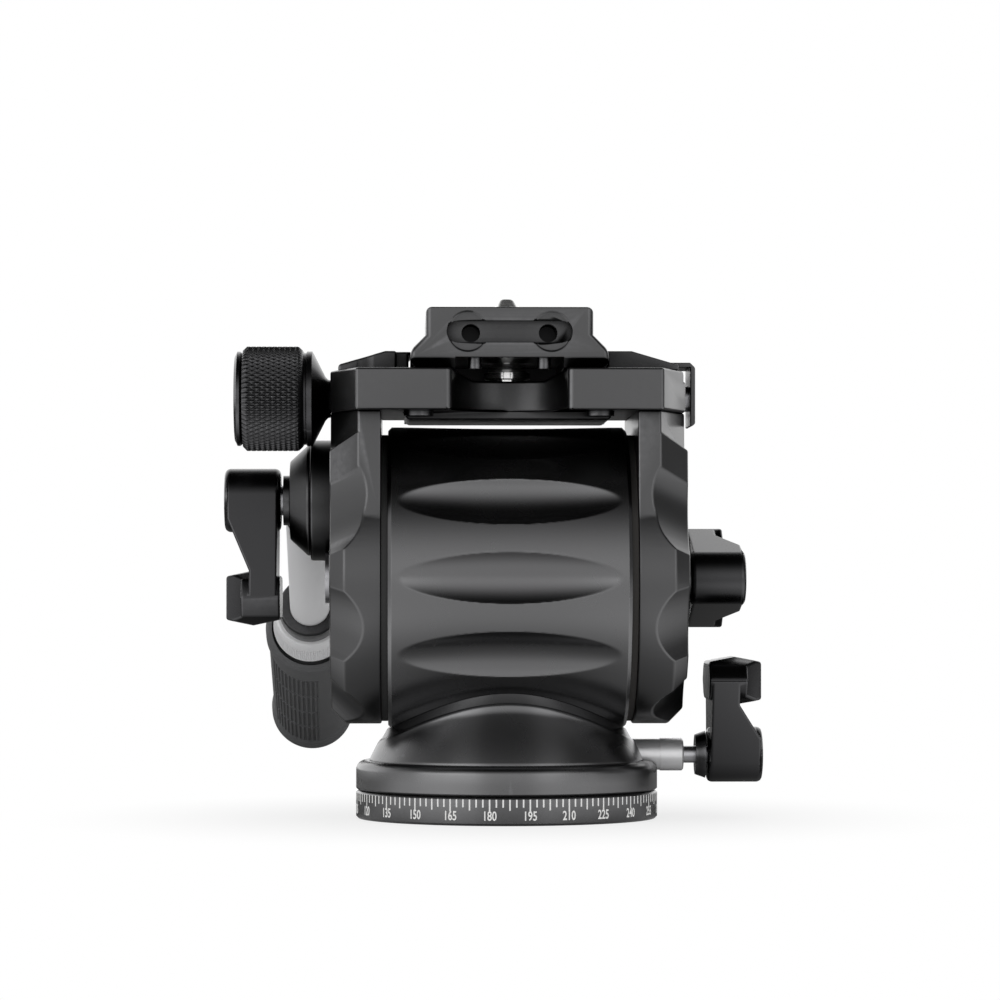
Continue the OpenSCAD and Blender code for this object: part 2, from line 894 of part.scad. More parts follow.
module stub_axle() {
    color("#9a9a9c")
        on_axis()
            x_turn([[half_drum - stub_flange_t + seat_fit, 0],
                    [half_drum - stub_flange_t + seat_fit, stub_flange_r],
                    [half_drum, stub_flange_r], [half_drum, shaft_r], [cheek_out - 0.4, shaft_r],
                    [cheek_out - 0.4, tilt_stud_r], [tilt_lever_x + hub_len - 2.5, tilt_stud_r],
                    [tilt_lever_x + hub_len - 2.5, 0]]);
}

module plate_bearing() {
    color("#b8b8b8")
        on_axis()
            bearing(cheek_in + 0.2);
}

module tilt_brake_disc() {
    color("#2a2622")
        on_axis()
            x_ring(stub_flange_r + 2, gap_ring_r, half_drum + washer_play, cheek_in - washer_play);
}

module tilt_thrust_washer() {
    color("#1e1e20")
        on_axis()
            x_ring(shaft_r + 3, gap_ring_r, -cheek_in + washer_play, -half_drum - washer_play);
}

// Scoop cutter in the rim of the right plate, facing the lens at angle 0
module scoop(angle) {
    rotate([-angle, 0, 0])
        translate([cheek_out, -cheek_r + rim_chamfer, 0])
            rotate([0, 0, -45])
                translate([scoop_r - scoop_depth, 0, 0])
                    rotate([90, 0, 0])
                        cylinder(r = scoop_r, h = far, center = true);
}

// Cutter of the right plate's upper corner, in the frame that leans with its front
module block_corner(depth, foot, dip) {
    corner_in = cheek_out - block_chamfer;
    intersection() {
        linear_extrude(far)
            polygon([[corner_in, -cheek_front - eps], [cheek_out + eps, -cheek_front - eps],
                     [cheek_out + eps, depth - cheek_front]]);
        xz_prism(-far, far)
            polygon([[corner_in, foot], [cheek_out + eps, foot - dip], [cheek_out + eps, far],
                     [corner_in, far]]);
    }
}

// Right side plate without its bores, about the tilt axis
module cheek() {
    difference() {
        union() {
            x_turn([[cheek_in, 0], [cheek_in, cheek_r], [cheek_out - rim_chamfer, cheek_r],
                    [cheek_out, cheek_r - rim_chamfer], [cheek_out, 0]]);
            yz_prism(cheek_in, cheek_out)
                polygon([[-cheek_half_d, cheek_rise], [-cheek_foot, crease_z],
                         [cheek_foot, crease_z], [cheek_half_d, cheek_rise]]);
        }
        for (a = scoop_angles)
            scoop(a);
        both_ends()
            rotate([-cheek_lean, 0, 0]) {
                block_corner(block_chamfer, chamfer_foot, chamfer_dip);
                block_corner(block_chamfer * clamp_taper_slope, taper_foot, taper_dip);
            }
        both_ends()
            translate([clamp_bolt_x, clamp_bolt_y, clamp_z - axis_z - clamp_bolt_len])
                cylinder(r = clamp_bolt_r + seat_fit, h = far);
    }
}

module side_plate_left() {
    color("#1b1b1d")
        difference() {
            on_axis()
                mirror([1, 0, 0])
                    cheek();
            on_axis()
                x_rod(shaft_r + seat_fit, -far, 0);
            on_rosette()
                x_rod(rosette_stud_r + run_fit, -far, -cheek_out + stud_depth);
        }
}

module side_plate_right() {
    color("#1b1b1d")
        on_axis()
            difference() {
                cheek();
                x_rod(bearing_r, 0, cheek_in + bearing_w + 0.3);
                x_rod(cap_bore_r, 0, far);
            }
}

module shaft_end_screw() {
    head_t_screw = 1.2;
    color("#77777a")
        on_axis() {
            x_rod(shaft_r, -cheek_out - head_t_screw - 0.02, -cheek_out - 0.02);
            x_rod(shaft_r / 2 - seat_fit, -cheek_out - 0.1, -cheek_in - 1);
        }
}

module hub_cap() {
    edge = 0.4;
    color("#1b1b1d")
        on_axis()
            x_turn([[cheek_out, cap_bore_r - 2], [cheek_out, cap_r],
                    [cheek_out + cap_t - edge, cap_r], [cheek_out + cap_t, cap_r - edge],
                    [cheek_out + cap_t, cap_bore_r - 2]]);
}

module tilt_lever() {
    color("#232325")
        on_axis()
            translate([tilt_lever_x, 0, 0])
                rotate([-90, 0, 0]) {
                    lever(1, hub_len, arm_len, tilt_stud_r + run_fit);
                    x_ring(tilt_stud_r + run_fit, hub_r - 1, cap_t - 1.6, 0.1);
                }
}

// Plan of the clamp body, with its bites
module clamp_plan() {
    for (x = [-1, 1], y = [-1, 1])
        translate([x * (bite_half_w + arm_round), y * (clamp_half_d - arm_round)])
            circle(r = arm_round);
    difference() {
        polygon([for (s = [[1, 1], [-1, 1], [-1, -1], [1, -1]],
                      p = s[0] * s[1] > 0 ? [0, 1] : [1, 0])
                 p == 0 ? [s[0] * cheek_out, s[1] * clamp_taper_y]
                        : [s[0] * (cheek_out - clamp_taper_in), s[1] * clamp_half_d]]);
        for (s = [-1, 1])
            translate([0, s * clamp_half_d]) {
                translate([0, s * (bite_half_w - bite_depth)])
                    circle(r = bite_half_w);
                translate([0, s * (bite_half_w - bite_depth + far / 2)])
                    square([2 * bite_half_w, far], center = true);
            }
        for (x = [-1, 1], y = [-1, 1])
            translate([x * bite_half_w, y * clamp_half_d])
                square(2 * arm_round, center = true);
    }
}

module clamp_body() {
    web_half_d = clamp_half_d - bite_depth;
    color("#1b1b1d")
        difference() {
            union() {
                translate([0, 0, clamp_z])
                    linear_extrude(clamp_t)
                        clamp_plan();
                intersection() {
                    translate([0, 0, clamp_z - web_drop])
                        linear_extrude(web_drop + 1)
                            clamp_plan();
                    xz_prism(-web_half_d, web_half_d)
                        polygon([[1 - web_half_w, clamp_z - web_drop],
                                 [web_half_w - 1, clamp_z - web_drop],
                                 [web_half_w, clamp_z], [web_half_w, clamp_z + 1],
                                 [-web_half_w, clamp_z + 1], [-web_half_w, clamp_z]]);
                }
                xz_prism(-jaw_half_len, jaw_half_len)
                    polygon([[-jaw_toe, clamp_top - eps], [-jaw_toe, clamp_top + jaw_toe_h],
                             [-jaw_crest, jaw_top], [-fixed_jaw_wall, jaw_top],
                             [-fixed_jaw_wall, clamp_top - eps]]);
                xz_prism(-fixed_lip_half_len, fixed_lip_half_len)
                    polygon([[-fixed_jaw_wall - 0.1, clamp_top - eps],
                             [-fixed_jaw_wall - 0.1, jaw_top], [-jaw_lip, jaw_top],
                             [-jaw_wall, jaw_top - jaw_wall + jaw_lip],
                             [-jaw_wall, clamp_top - eps]]);
            }
            xz_prism(-far, far)
                polygon([[-channel_half_w, clamp_top - channel_d],
                         [channel_half_w, clamp_top - channel_d], [bite_half_w, clamp_top + eps],
                         [-bite_half_w, clamp_top + eps]]);
            translate([0, 0, bolt_z])
                x_rod(bolt_r + run_fit, -far, far);
            for (s = [-1, 1])
                translate([tongue_start - 0.2, s * tongue_y - tongue_half_w - slide_fit,
                           clamp_top - tongue_d - 0.1])
                    cube([far, 2 * (tongue_half_w + slide_fit), far]);
            four_corners()
                translate([clamp_bolt_x, clamp_bolt_y, 0]) {
                    cylinder(r = clamp_bolt_r + 0.1, h = far);
                    translate([0, 0, clamp_top - clamp_head_h - 0.2])
                        cylinder(r = clamp_head_r + 0.1, h = far);
                }
            four_corners()
                translate([arm_screw_x, arm_screw_y, clamp_z - eps])
                    cylinder(r = arm_screw_r + seat_fit, h = arm_screw_len + 0.2);
        }
}

module clamp_bolts() {
    color("#77777a")
        four_corners()
            translate([clamp_bolt_x, clamp_bolt_y, 0])
                difference() {
                    union() {
                        translate([0, 0, clamp_top - clamp_head_h - 0.2])
                            cylinder(r = clamp_head_r, h = clamp_head_h);
                        translate([0, 0, clamp_z - clamp_bolt_len + 0.4])
                            cylinder(r = clamp_bolt_r, h = clamp_t - clamp_head_h + clamp_bolt_len);
                    }
                    translate([0, 0, clamp_top - 2])
                        cylinder(r = 1.75, h = far, $fn = 6);
                }
}

module arm_screws() {
    color("#1b1b1d")
        four_corners()
            translate([arm_screw_x, arm_screw_y, clamp_z - arm_head_h]) {
                cylinder(r = arm_head_r, h = arm_head_h);
                cylinder(r = arm_screw_r, h = arm_head_h + arm_screw_len);
            }
}

module movable_jaw() {
    foot_z = clamp_top + slide_fit;
    corner = 1;
    leg_out = leg_x + leg_t;
    leg_end = clamp_z - leg_drop;
    color("#1b1b1d")
        difference() {
            union() {
                xz_prism(-jaw_half_len, jaw_half_len)
                    polygon([[jaw_wall, foot_z], [jaw_wall, jaw_top - jaw_wall + jaw_lip],
                             [jaw_lip, jaw_top], [jaw_crest, jaw_top],
                             [jaw_toe, clamp_top + jaw_toe_h], [jaw_toe, foot_z]]);
                xz_prism(-leg_half_w, leg_half_w)
                    polygon([[jaw_crest, foot_z + 0.4], [jaw_crest, leg_top],
                             [leg_out - corner, leg_top], [leg_out, leg_top - corner],
                             [leg_out, leg_end + 0.5], [leg_out - 0.5, leg_end], [leg_x, leg_end],
                             [leg_x, leg_top - leg_t], [jaw_toe, leg_top - leg_t],
                             [jaw_toe, foot_z + 0.4]]);
                for (s = [-1, 1])
                    translate([tongue_start, s * tongue_y - tongue_half_w, clamp_top - tongue_d])
                        cube([tongue_end - tongue_start, 2 * tongue_half_w, tongue_d + 0.5]);
            }
            translate([0, 0, bolt_z])
                x_rod(bolt_r + seat_fit, 0, far);
        }
}

module draw_bolt() {
    color("#9a9a9c")
        translate([0, 0, bolt_z])
            x_rod(bolt_r, bolt_left, leg_x + leg_t);
}

// Profile point of the knob, measured out from the clamp's left side
function knob_at(d, r) = [-cheek_out - d, r];

module clamp_knob() {
    bore = bolt_r + run_fit;
    groove = 0.35;
    color("#1b1b1d")
        translate([0, 0, bolt_z])
            x_turn([knob_at(knob_foot, bore), knob_at(knob_foot, knob_neck_r),
                    knob_at(knob_foot + 1, knob_neck_r + 0.4), knob_at(knob_cone, knob_collar_r),
                    knob_at(knob_collar, knob_collar_r),
                    knob_at(knob_collar + groove / 2, knob_collar_r - groove),
                    knob_at(knurl_start - knob_bevel / 2, knob_collar_r - groove),
                    knob_at(knurl_start, knob_r - knob_bevel),
                    knob_at(knurl_start + knob_bevel, knob_r),
                    knob_at(knurl_end - knob_bevel, knob_r),
                    knob_at(knurl_end, knob_r - knob_bevel),
                    knob_at(knurl_end, knob_spigot_r),
                    knob_at(knurl_end - knob_spigot_len, knob_spigot_r),
                    knob_at(knurl_end - knob_spigot_len, bore)]);
}

module knob_cap() {
    edge = 0.5;
    color("#1b1b1d")
        translate([0, 0, bolt_z])
            x_turn([knob_at(knurl_end - knob_spigot_len + 0.1, 0),
                    knob_at(knurl_end - knob_spigot_len + 0.1, knob_spigot_r - seat_fit),
                    knob_at(knurl_end + seat_fit, knob_spigot_r - seat_fit),
                    knob_at(knurl_end + seat_fit, knob_cap_r - edge),
                    knob_at(knurl_end + edge, knob_cap_r),
                    knob_at(knurl_end + knob_cap_t - edge, knob_cap_r),
                    knob_at(knurl_end + knob_cap_t, knob_cap_r - 2 * edge),
                    knob_at(knurl_end + knob_cap_t, 0)]);
}

// Recess in the plate's front end, with its two dished corners and key holes
module plate_recess() {
    translate([0, 0, slot_z]) {
        xz_prism(-plate_half_len - 1, slot_d - plate_half_len) {
            square([2 * (slot_half_w - slot_half_h), 2 * slot_half_h], center = true);
            for (s = [-1, 1])
                translate([s * (slot_half_w - slot_half_h), 0])
                    circle(r = slot_half_h);
        }
        for (s = [-1, 1]) {
            translate([s * dish_x, -plate_half_len - eps, 0])
                rotate([-90, 0, 0])
                    cylinder(r1 = dish_r, r2 = dish_floor_r, h = dish_d);
            translate([s * key_hole_x, -plate_half_len, -key_hole_drop])
                rotate([-90, 0, 0])
                    cylinder(r = key_hole_r, h = key_hole_d);
        }
    }
}

module camera_plate() {
    flank_top = edge_top + flank_h;
    key_start = plate_half_len - plate_wall;
    color("#1b1b1d")
        difference() {
            union() {
                xz_prism(-plate_half_len, plate_half_len)
                    polygon([for (s = [-1, 1], p = s < 0 ? [0, 1, 2, 3, 4] : [4, 3, 2, 1, 0])
                             [[s * (dovetail_half - plate_bevel), plate_z],
                              [s * dovetail_half, plate_z + plate_bevel],
                              [s * dovetail_half, edge_top], [s * block_half_w, flank_top],
                              [s * block_half_w, plate_top]][p]]);
                xz_prism(key_start, plate_half_len - end_bevel - 0.1)
                    polygon([[-channel_half_w, clamp_top - channel_d + key_gap],
                             [channel_half_w, clamp_top - channel_d + key_gap],
                             [bite_half_w - key_side_gap, plate_z + eps],
                             [key_side_gap - bite_half_w, plate_z + eps]]);
            }
            both_ends()
                plate_recess();
            both_ends()
                yz_prism(-far, far)
                    polygon([[-plate_half_len - 1, plate_z - 1],
                             [end_bevel + 1 - plate_half_len, plate_z - 1],
                             [-plate_half_len - 1, plate_z + end_bevel + 1]]);
            translate([-plate_channel_half_w, -far, plate_z - 1])
                cube([2 * plate_channel_half_w, far + key_start, plate_channel_h + 1]);
            translate([0, 0, plate_z - eps])
                cylinder(r = screw_bore_r, h = far);
            translate([0, 0, plate_z - eps])
                cylinder(r = screw_cup_r, h = screw_cup_h);
            four_corners()
                translate([stop_x, stop_y, plate_z - channel_d])
                    cylinder(r = stop_r + seat_fit, h = channel_d + stop_len);
        }
}

module camera_screw() {
    tip_z = plate_top + screw_reach;
    color("#d4d5d8")
        difference() {
            rotate_extrude()
                polygon([[0, screw_head_z], [screw_foot_r, screw_head_z],
                         [screw_foot_r, screw_head_z + 0.5], [screw_head_r, screw_head_z + 0.7],
                         [screw_head_r, screw_head_z + screw_head_h],
                         [screw_dome_r, screw_head_z + screw_head_h + 0.15],
                         [screw_dome_r - 0.3, screw_head_z + screw_head_h + 1.4],
                         [screw_neck_r + 0.4, retainer_z - 0.1], [screw_neck_r, retainer_z - 0.1],
                         [screw_neck_r, screw_neck_top], [camera_screw_r, screw_neck_top],
                         [camera_screw_r, tip_z - screw_cone_h], [screw_tip_r, tip_z],
                         [0, tip_z]]);
            translate([-far / 2, -0.6, screw_head_z - eps])
                cube([far, 1.2, 0.8]);
        }
}

module screw_retainer() {
    color("#77777a")
        z_ring(screw_neck_r + run_fit, screw_cup_r - seat_fit, retainer_z,
               retainer_z + retainer_t);
}

module stop_screws() {
    color("#77777a")
        four_corners()
            translate([stop_x, stop_y, plate_z - stop_drop])
                cylinder(r = stop_r, h = stop_drop + stop_len - 0.2);
}

module rosette_base() {
    edge = 0.3;
    color("#1b1b1d")
        on_rosette()
            x_turn([[-cheek_out, rosette_stud_r + run_fit], [-cheek_out, rosette_r],
                    [rosette_out + edge, rosette_r], [rosette_out, rosette_r - edge],
                    [rosette_out, rosette_stud_r + run_fit]]);
}

module rosette_bolt() {
    color("#9a9a9c")
        on_rosette()
            x_rod(rosette_stud_r, big_lever_x - big_hub_len + 3,
                  stud_depth - cheek_out - 0.4);
}

module rosette_washer() {
    color("#77777a")
        on_rosette()
            x_ring(rosette_stud_r + run_fit, washer_r, head_out - slide_fit - washer_t,
                   head_out - slide_fit);
}

module rosette_lever() {
    color("#232325")
        on_rosette()
            translate([big_lever_x, 0, 0])
                mirror([1, 0, 0])
                    rotate([180, 0, 0])
                        lever(big_lever, big_hub_len, big_arm_len, rosette_stud_r + seat_fit);
}

module handle_head() {
    color("#1b1b1d") {
        difference() {
            union() {
                on_rosette()
                    x_turn([[head_in, 0], [head_in, head_r], [head_in - 0.5, head_r],
                            [head_out, head_rim_r], [head_out, 0]]);
                on_handle()
                    translate([head_out - 0.3, 0, -lug_half_h])
                        cube([head_t + 0.3, tube_start - 0.5, 2 * lug_half_h]);
                u_turn([[tube_start - 1.4, 0], [tube_start - 1.4, tube_r], [tube_start, tube_r],
                        [tube_start, tube_r - tube_wall - seat_fit],
                        [tube_start + spigot_len, tube_r - tube_wall - seat_fit],
                        [tube_start + spigot_len, 0]]);
            }
            on_rosette() {
                x_rod(rosette_stud_r + run_fit, -far, 0);
                x_rod(washer_r + 0.3, -far, head_out);
            }
        }
    }
}

module handle_tube() {
    color("#d4d5d8")
        u_turn([[tube_start, tube_r - tube_wall], [tube_start, tube_r], [tube_end, tube_r],
                [tube_end, tube_r - tube_wall]]);
}

module tube_bush() {
    color("#e6e2d6")
        u_turn([[tube_end - bush_len, tube_r + seat_fit],
                [tube_end - bush_len, core_bore_r - run_fit],
                [tube_end, core_bore_r - run_fit], [tube_end, tube_r + seat_fit]]);
}

module grip_core() {
    edge = 0.4;
    shoulder_u = twist_u - 0.2;
    color("#1b1b1d")
        u_turn([[collar_u, tube_r + neck_fit], [collar_u, core_collar_r - edge],
                [collar_u + edge, core_collar_r], [shoulder_u, core_collar_r],
                [shoulder_u, core_r], [grip_end, core_r], [grip_end, core_bore_r],
                [collar_u + neck_len, core_bore_r], [collar_u + neck_len, tube_r + neck_fit]]);
}

module twist_ring() {
    front_r = 8.1;
    back_r = 8.6;
    color("#c9cacc")
        u_turn([[twist_u, core_r + run_fit], [twist_u, front_r - 0.5], [twist_u + 1.2, front_r],
                [twist_u + twist_len - 1, back_r], [twist_u + twist_len, back_r - 0.5],
                [twist_u + twist_len, core_r + run_fit]]);
}

module handle_grip() {
    waist = 0.6;
    groove_start = grip_u + 2 * grip_bead_len;
    bore = core_r + seat_fit;
    color("#2b2c2e")
        u_turn(concat(
            [[grip_u, bore], [grip_u, grip_r - 1.2], [grip_u + 1.2, grip_r],
             [grip_u + grip_bead_len, grip_r], [grip_u + grip_bead_len + 1, grip_r - waist]],
            [for (k = [0:grip_grooves - 1], p = [0:3])
                let (u = groove_start + k * groove_pitch)
                p == 0 ? [u, grip_r - waist]
                : p == 1 ? [u + 0.3, grip_r - waist - groove_d]
                : p == 2 ? [u + groove_w - 0.3, grip_r - waist - groove_d]
                : [u + groove_w, grip_r - waist]],
            [[grip_end - grip_bead_len, grip_r - waist], [grip_end - grip_bead_len + 1, grip_r],
             [grip_end - 0.6, grip_r], [grip_end, grip_r - 0.6], [grip_end, bore]]));
}

module grip_cap() {
    plug_len = 6;
    start = grip_end + seat_fit;
    color("#2b2c2e")
        u_turn([[start - plug_len, 0], [start - plug_len, core_bore_r - seat_fit],
                [start, core_bore_r - seat_fit], [start, grip_r - 0.6], [start + 1.4, grip_r - 0.8],
                [handle_len - 1, grip_r - 2.4], [handle_len, grip_r - 4.6], [handle_len, 0]]);
}

base_ring();
thread_insert();
pan_spindle();
base_screws();
pan_seal();
pan_thrust_bearing();
pan_housing();
pan_thrust_washer();
pan_retaining_ring();
pan_lock_sleeve();
pan_lock_pad();
pan_lock_stud();
pan_lock_collar();
pan_lever();
drum_screws();
tilt_drum();
drum_cover();
cover_screws();
damper_rotor();
damper_stator();
tilt_shaft();
shaft_bearing_left();
shaft_bearing_right();
shaft_seal();
stub_axle();
plate_bearing();
tilt_brake_disc();
tilt_thrust_washer();
side_plate_left();
side_plate_right();
shaft_end_screw();
hub_cap();
tilt_lever();
clamp_body();
clamp_bolts();
arm_screws();
movable_jaw();
draw_bolt();
clamp_knob();
knob_cap();
camera_plate();
camera_screw();
screw_retainer();
stop_screws();
rosette_base();
rosette_bolt();
rosette_washer();
rosette_lever();
handle_head();
handle_tube();
tube_bush();
grip_core();
twist_ring();
handle_grip();
grip_cap();
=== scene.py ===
"""Looks of a compact fluid video head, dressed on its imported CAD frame."""

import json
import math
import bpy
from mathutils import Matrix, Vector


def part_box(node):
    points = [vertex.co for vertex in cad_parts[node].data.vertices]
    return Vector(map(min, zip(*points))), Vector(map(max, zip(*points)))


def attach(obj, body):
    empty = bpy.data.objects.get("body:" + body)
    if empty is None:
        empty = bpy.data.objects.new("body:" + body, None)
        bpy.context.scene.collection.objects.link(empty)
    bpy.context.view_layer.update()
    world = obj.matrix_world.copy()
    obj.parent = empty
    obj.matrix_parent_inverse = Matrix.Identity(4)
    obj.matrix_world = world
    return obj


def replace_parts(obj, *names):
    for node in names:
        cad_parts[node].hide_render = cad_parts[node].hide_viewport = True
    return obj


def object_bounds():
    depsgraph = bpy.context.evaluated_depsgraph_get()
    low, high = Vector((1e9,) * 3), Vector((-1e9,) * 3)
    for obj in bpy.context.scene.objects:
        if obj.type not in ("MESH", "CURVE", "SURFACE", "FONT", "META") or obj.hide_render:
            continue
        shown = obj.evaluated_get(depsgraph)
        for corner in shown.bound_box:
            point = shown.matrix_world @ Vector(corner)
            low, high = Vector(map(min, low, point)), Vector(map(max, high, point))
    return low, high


bl_info = {
    "name": "Fluid video head",
    "version": (1, 0, 0),
    "blender": (4, 5, 0),
    "location": "3D View > Sidebar > Video head",
    "description": "Finishes, knurls, dial marks and studio stage of a fluid video head",
    "category": "Object",
}

from functools import partial

import bmesh
import bpy
import numpy as np
from bpy.props import FloatProperty, FloatVectorProperty, IntProperty, PointerProperty
from mathutils import Matrix, Vector

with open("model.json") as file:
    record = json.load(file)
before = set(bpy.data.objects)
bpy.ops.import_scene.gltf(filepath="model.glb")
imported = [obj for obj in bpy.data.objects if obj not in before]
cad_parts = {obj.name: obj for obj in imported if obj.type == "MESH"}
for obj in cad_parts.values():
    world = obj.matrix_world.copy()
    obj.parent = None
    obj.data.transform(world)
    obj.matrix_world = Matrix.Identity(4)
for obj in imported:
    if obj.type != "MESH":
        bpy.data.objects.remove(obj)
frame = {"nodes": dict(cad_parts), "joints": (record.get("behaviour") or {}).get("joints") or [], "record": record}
CAD_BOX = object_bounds()
NODES = frame["nodes"]
BODY_OF = {n: body for body, names in frame["record"]["behaviour"]["bodies"].items()
           for n in names}
SLOT_OF = {s["node"]: s["material_slot"] for s in frame["record"]["subparts"]}
MM = 0.001
ACROSS, FORWARD, UPWARD = (1, 0, 0), (0, -1, 0), (0, 0, 1)


def mm(*lengths):
    """Lengths in metres, given in millimetres."""
    return tuple(u * MM for u in lengths)


def centre(node):
    low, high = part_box(node)
    return (low + high) / 2


def half_size(node):
    low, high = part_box(node)
    return (high - low) / 2


# Places that the frame gives
TILT_AXIS = centre("tilt_drum")
DRUM_HALF = half_size("tilt_drum")
BASE_R = half_size("base_ring").x
BASE_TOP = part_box("base_ring")[1].z
KNOB_LOW, KNOB_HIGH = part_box("clamp_knob")
KNOB_AXIS = centre("clamp_knob")
JOINTS = {j["name"]: j for j in frame["joints"]}
HANDLE_AXIS = Vector(JOINTS["handle_extension"]["axis"]).normalized()
HANDLE_START = Vector(JOINTS["twist_lock"]["pos_m"])


class HeadSizes(bpy.types.PropertyGroup):
    """Sizes of the details that the looks add to the frame"""

    edge_round: FloatProperty(
        name="Edge rounding", description="Width of the rounded edges of machined pieces",
        default=0.36 * MM, min=0.05 * MM, max=0.8 * MM, unit="LENGTH")
    plate_corner: FloatProperty(
        name="Plate corners", description="Rounding of the camera plate's end corners",
        default=1.1 * MM, min=0.2 * MM, max=2 * MM, unit="LENGTH")
    lip_height: FloatProperty(
        name="Saddle lip", description="Width of the lip round the drum's saddle",
        default=2.5 * MM, min=1 * MM, max=4 * MM, unit="LENGTH")
    scallop_depth: FloatProperty(
        name="Scallop depth", description="Depth of one scallop in the drum",
        default=2.2 * MM, min=0.5 * MM, max=3 * MM, unit="LENGTH")
    scallop_length: FloatProperty(
        name="Scallop length", description="Length of one scallop along the drum",
        default=42.8 * MM, min=30 * MM, max=44 * MM, unit="LENGTH")
    scallop_radius: FloatProperty(
        name="Scallop radius", description="Radius of a scallop across its length",
        default=8 * MM, min=7 * MM, max=14 * MM, unit="LENGTH")
    scallop_pitch: FloatProperty(
        name="Scallop pitch", description="Angle between scallops",
        default=math.radians(30), min=math.radians(20), max=math.radians(45),
        subtype="ANGLE")
    knurl_count: IntProperty(
        name="Knurl count", description="Diamonds round the clamp knob",
        default=63, min=30, max=90)
    knurl_pitch: FloatProperty(
        name="Knurl pitch", description="Length of one diamond along the knob",
        default=2.1 * MM, min=1 * MM, max=4 * MM, unit="LENGTH")
    knurl_depth: FloatProperty(
        name="Knurl depth", description="Depth of the knurl's grooves",
        default=0.34 * MM, min=0.1 * MM, max=0.6 * MM, unit="LENGTH")
    ring_ridges: IntProperty(
        name="Twist ring ridges", description="Fine ridges round the twist ring",
        default=108, min=30, max=144)
    grip_ribs: IntProperty(
        name="Grip ribs", description="Lengthwise ribs round the rubber grip",
        default=54, min=16, max=80)
    grip_turn: FloatProperty(
        name="Grip turn", description="Angle of the grip's smooth flank round the handle",
        default=math.radians(28), subtype="ANGLE")
    tick_width: FloatProperty(
        name="Tick width", description="Width of a tick of the pan dial",
        default=0.3 * MM, min=0.1 * MM, max=0.6 * MM, unit="LENGTH")
    facing_angle: FloatProperty(
        name="Facing angle", description="Reading of the pan dial at the lens side",
        default=math.radians(187.65), subtype="ANGLE")


class HeadColours(bpy.types.PropertyGroup):
    """Colours of the head's finishes"""

    anodised: FloatVectorProperty(
        name="Black anodised", description="Dim sheen of the milled black bodies",
        default=(0.101, 0.101, 0.103), subtype="COLOR", min=0, max=1)
    turned_black: FloatVectorProperty(
        name="Turned black", description="Brighter sheen of the turned black bodies",
        default=(0.163, 0.163, 0.166), subtype="COLOR", min=0, max=1)
    lever_black: FloatVectorProperty(
        name="Lever black", description="Darker sheen of the lock levers",
        default=(0.059, 0.059, 0.061), subtype="COLOR", min=0, max=1)
    silver: FloatVectorProperty(
        name="Silver", description="Clear anodised aluminium",
        default=(0.82, 0.82, 0.83), subtype="COLOR", min=0, max=1)
    steel: FloatVectorProperty(
        name="Steel", description="Machined steel",
        default=(0.52, 0.52, 0.54), subtype="COLOR", min=0, max=1)
    rubber: FloatVectorProperty(
        name="Rubber", description="Dark grey rubber of the grip",
        default=(0.085, 0.086, 0.088), subtype="COLOR", min=0, max=1)
    marks: FloatVectorProperty(
        name="Dial marks", description="White paint of the pan dial",
        default=(0.86, 0.86, 0.85), subtype="COLOR", min=0, max=1)


class StudioSettings(bpy.types.PropertyGroup):
    """Camera of the studio stage"""

    distance: FloatProperty(
        name="Camera distance", description="Distance of the camera from the pan axis",
        default=0.790, unit="LENGTH")
    height: FloatProperty(
        name="Camera height", description="Height of the camera over the floor",
        default=0.0473, unit="LENGTH")
    swing: FloatProperty(
        name="Camera swing", description="Angle of the camera off the lens side",
        default=math.radians(-1.4), subtype="ANGLE")
    lens: FloatProperty(
        name="Lens", description="Focal length on a 36 mm sensor", default=142.5)
    shift_x: FloatProperty(name="Shift across", description="Lens shift across",
                           default=-0.0066)
    shift_y: FloatProperty(name="Shift up", description="Lens shift up", default=0.08)


# Shader nodes and groups

def new_group(name, inputs, outputs, kind="NodeSocketFloat"):
    """Empty shader group with named float inputs and outputs of one kind."""
    group = bpy.data.node_groups.new(name, "ShaderNodeTree")
    for label, default in inputs:
        socket = group.interface.new_socket(label, in_out="INPUT",
                                            socket_type="NodeSocketFloat")
        socket.default_value = default
    for label in outputs:
        group.interface.new_socket(label, in_out="OUTPUT", socket_type=kind)
    return group, group.nodes.new("NodeGroupInput"), group.nodes.new("NodeGroupOutput")


def feed(tree, node, values):
    """Give a node its inputs, sockets or plain numbers, and return its outputs."""
    for socket, value in zip(node.inputs, values):
        if isinstance(value, (int, float)):
            socket.default_value = value
        else:
            tree.links.new(value, socket)
    return node.outputs


def math_node(tree, operation, result, *others):
    """Operation on sockets or plain numbers, taken one after the other."""
    for other in others:
        node = tree.nodes.new("ShaderNodeMath")
        node.operation = operation
        result = feed(tree, node, (result, other))[0]
    return result


def vector_node(tree, operation, *vectors):
    node = tree.nodes.new("ShaderNodeVectorMath")
    node.operation = operation
    return feed(tree, node, vectors)


def split_node(tree, vector):
    """X, Y and Z of a vector socket."""
    return tuple(feed(tree, tree.nodes.new("ShaderNodeSeparateXYZ"), [vector]))


def noise_node(tree, vector, scale, detail):
    node = tree.nodes.new("ShaderNodeTexNoise")
    node.inputs["Detail"].default_value = detail
    tree.links.new(vector, node.inputs["Vector"])
    tree.links.new(scale, node.inputs["Scale"])
    return node.outputs["Fac"]


def ramp(tree, value, taken, given):
    """Smooth step of a value from one range to another."""
    step = tree.nodes.new("ShaderNodeMapRange")
    step.interpolation_type = "SMOOTHSTEP"
    return feed(tree, step, (value, *taken, *given))[0]


def mix_shaders(tree, share, first, second):
    return feed(tree, tree.nodes.new("ShaderNodeMixShader"), (share, first, second))[0]


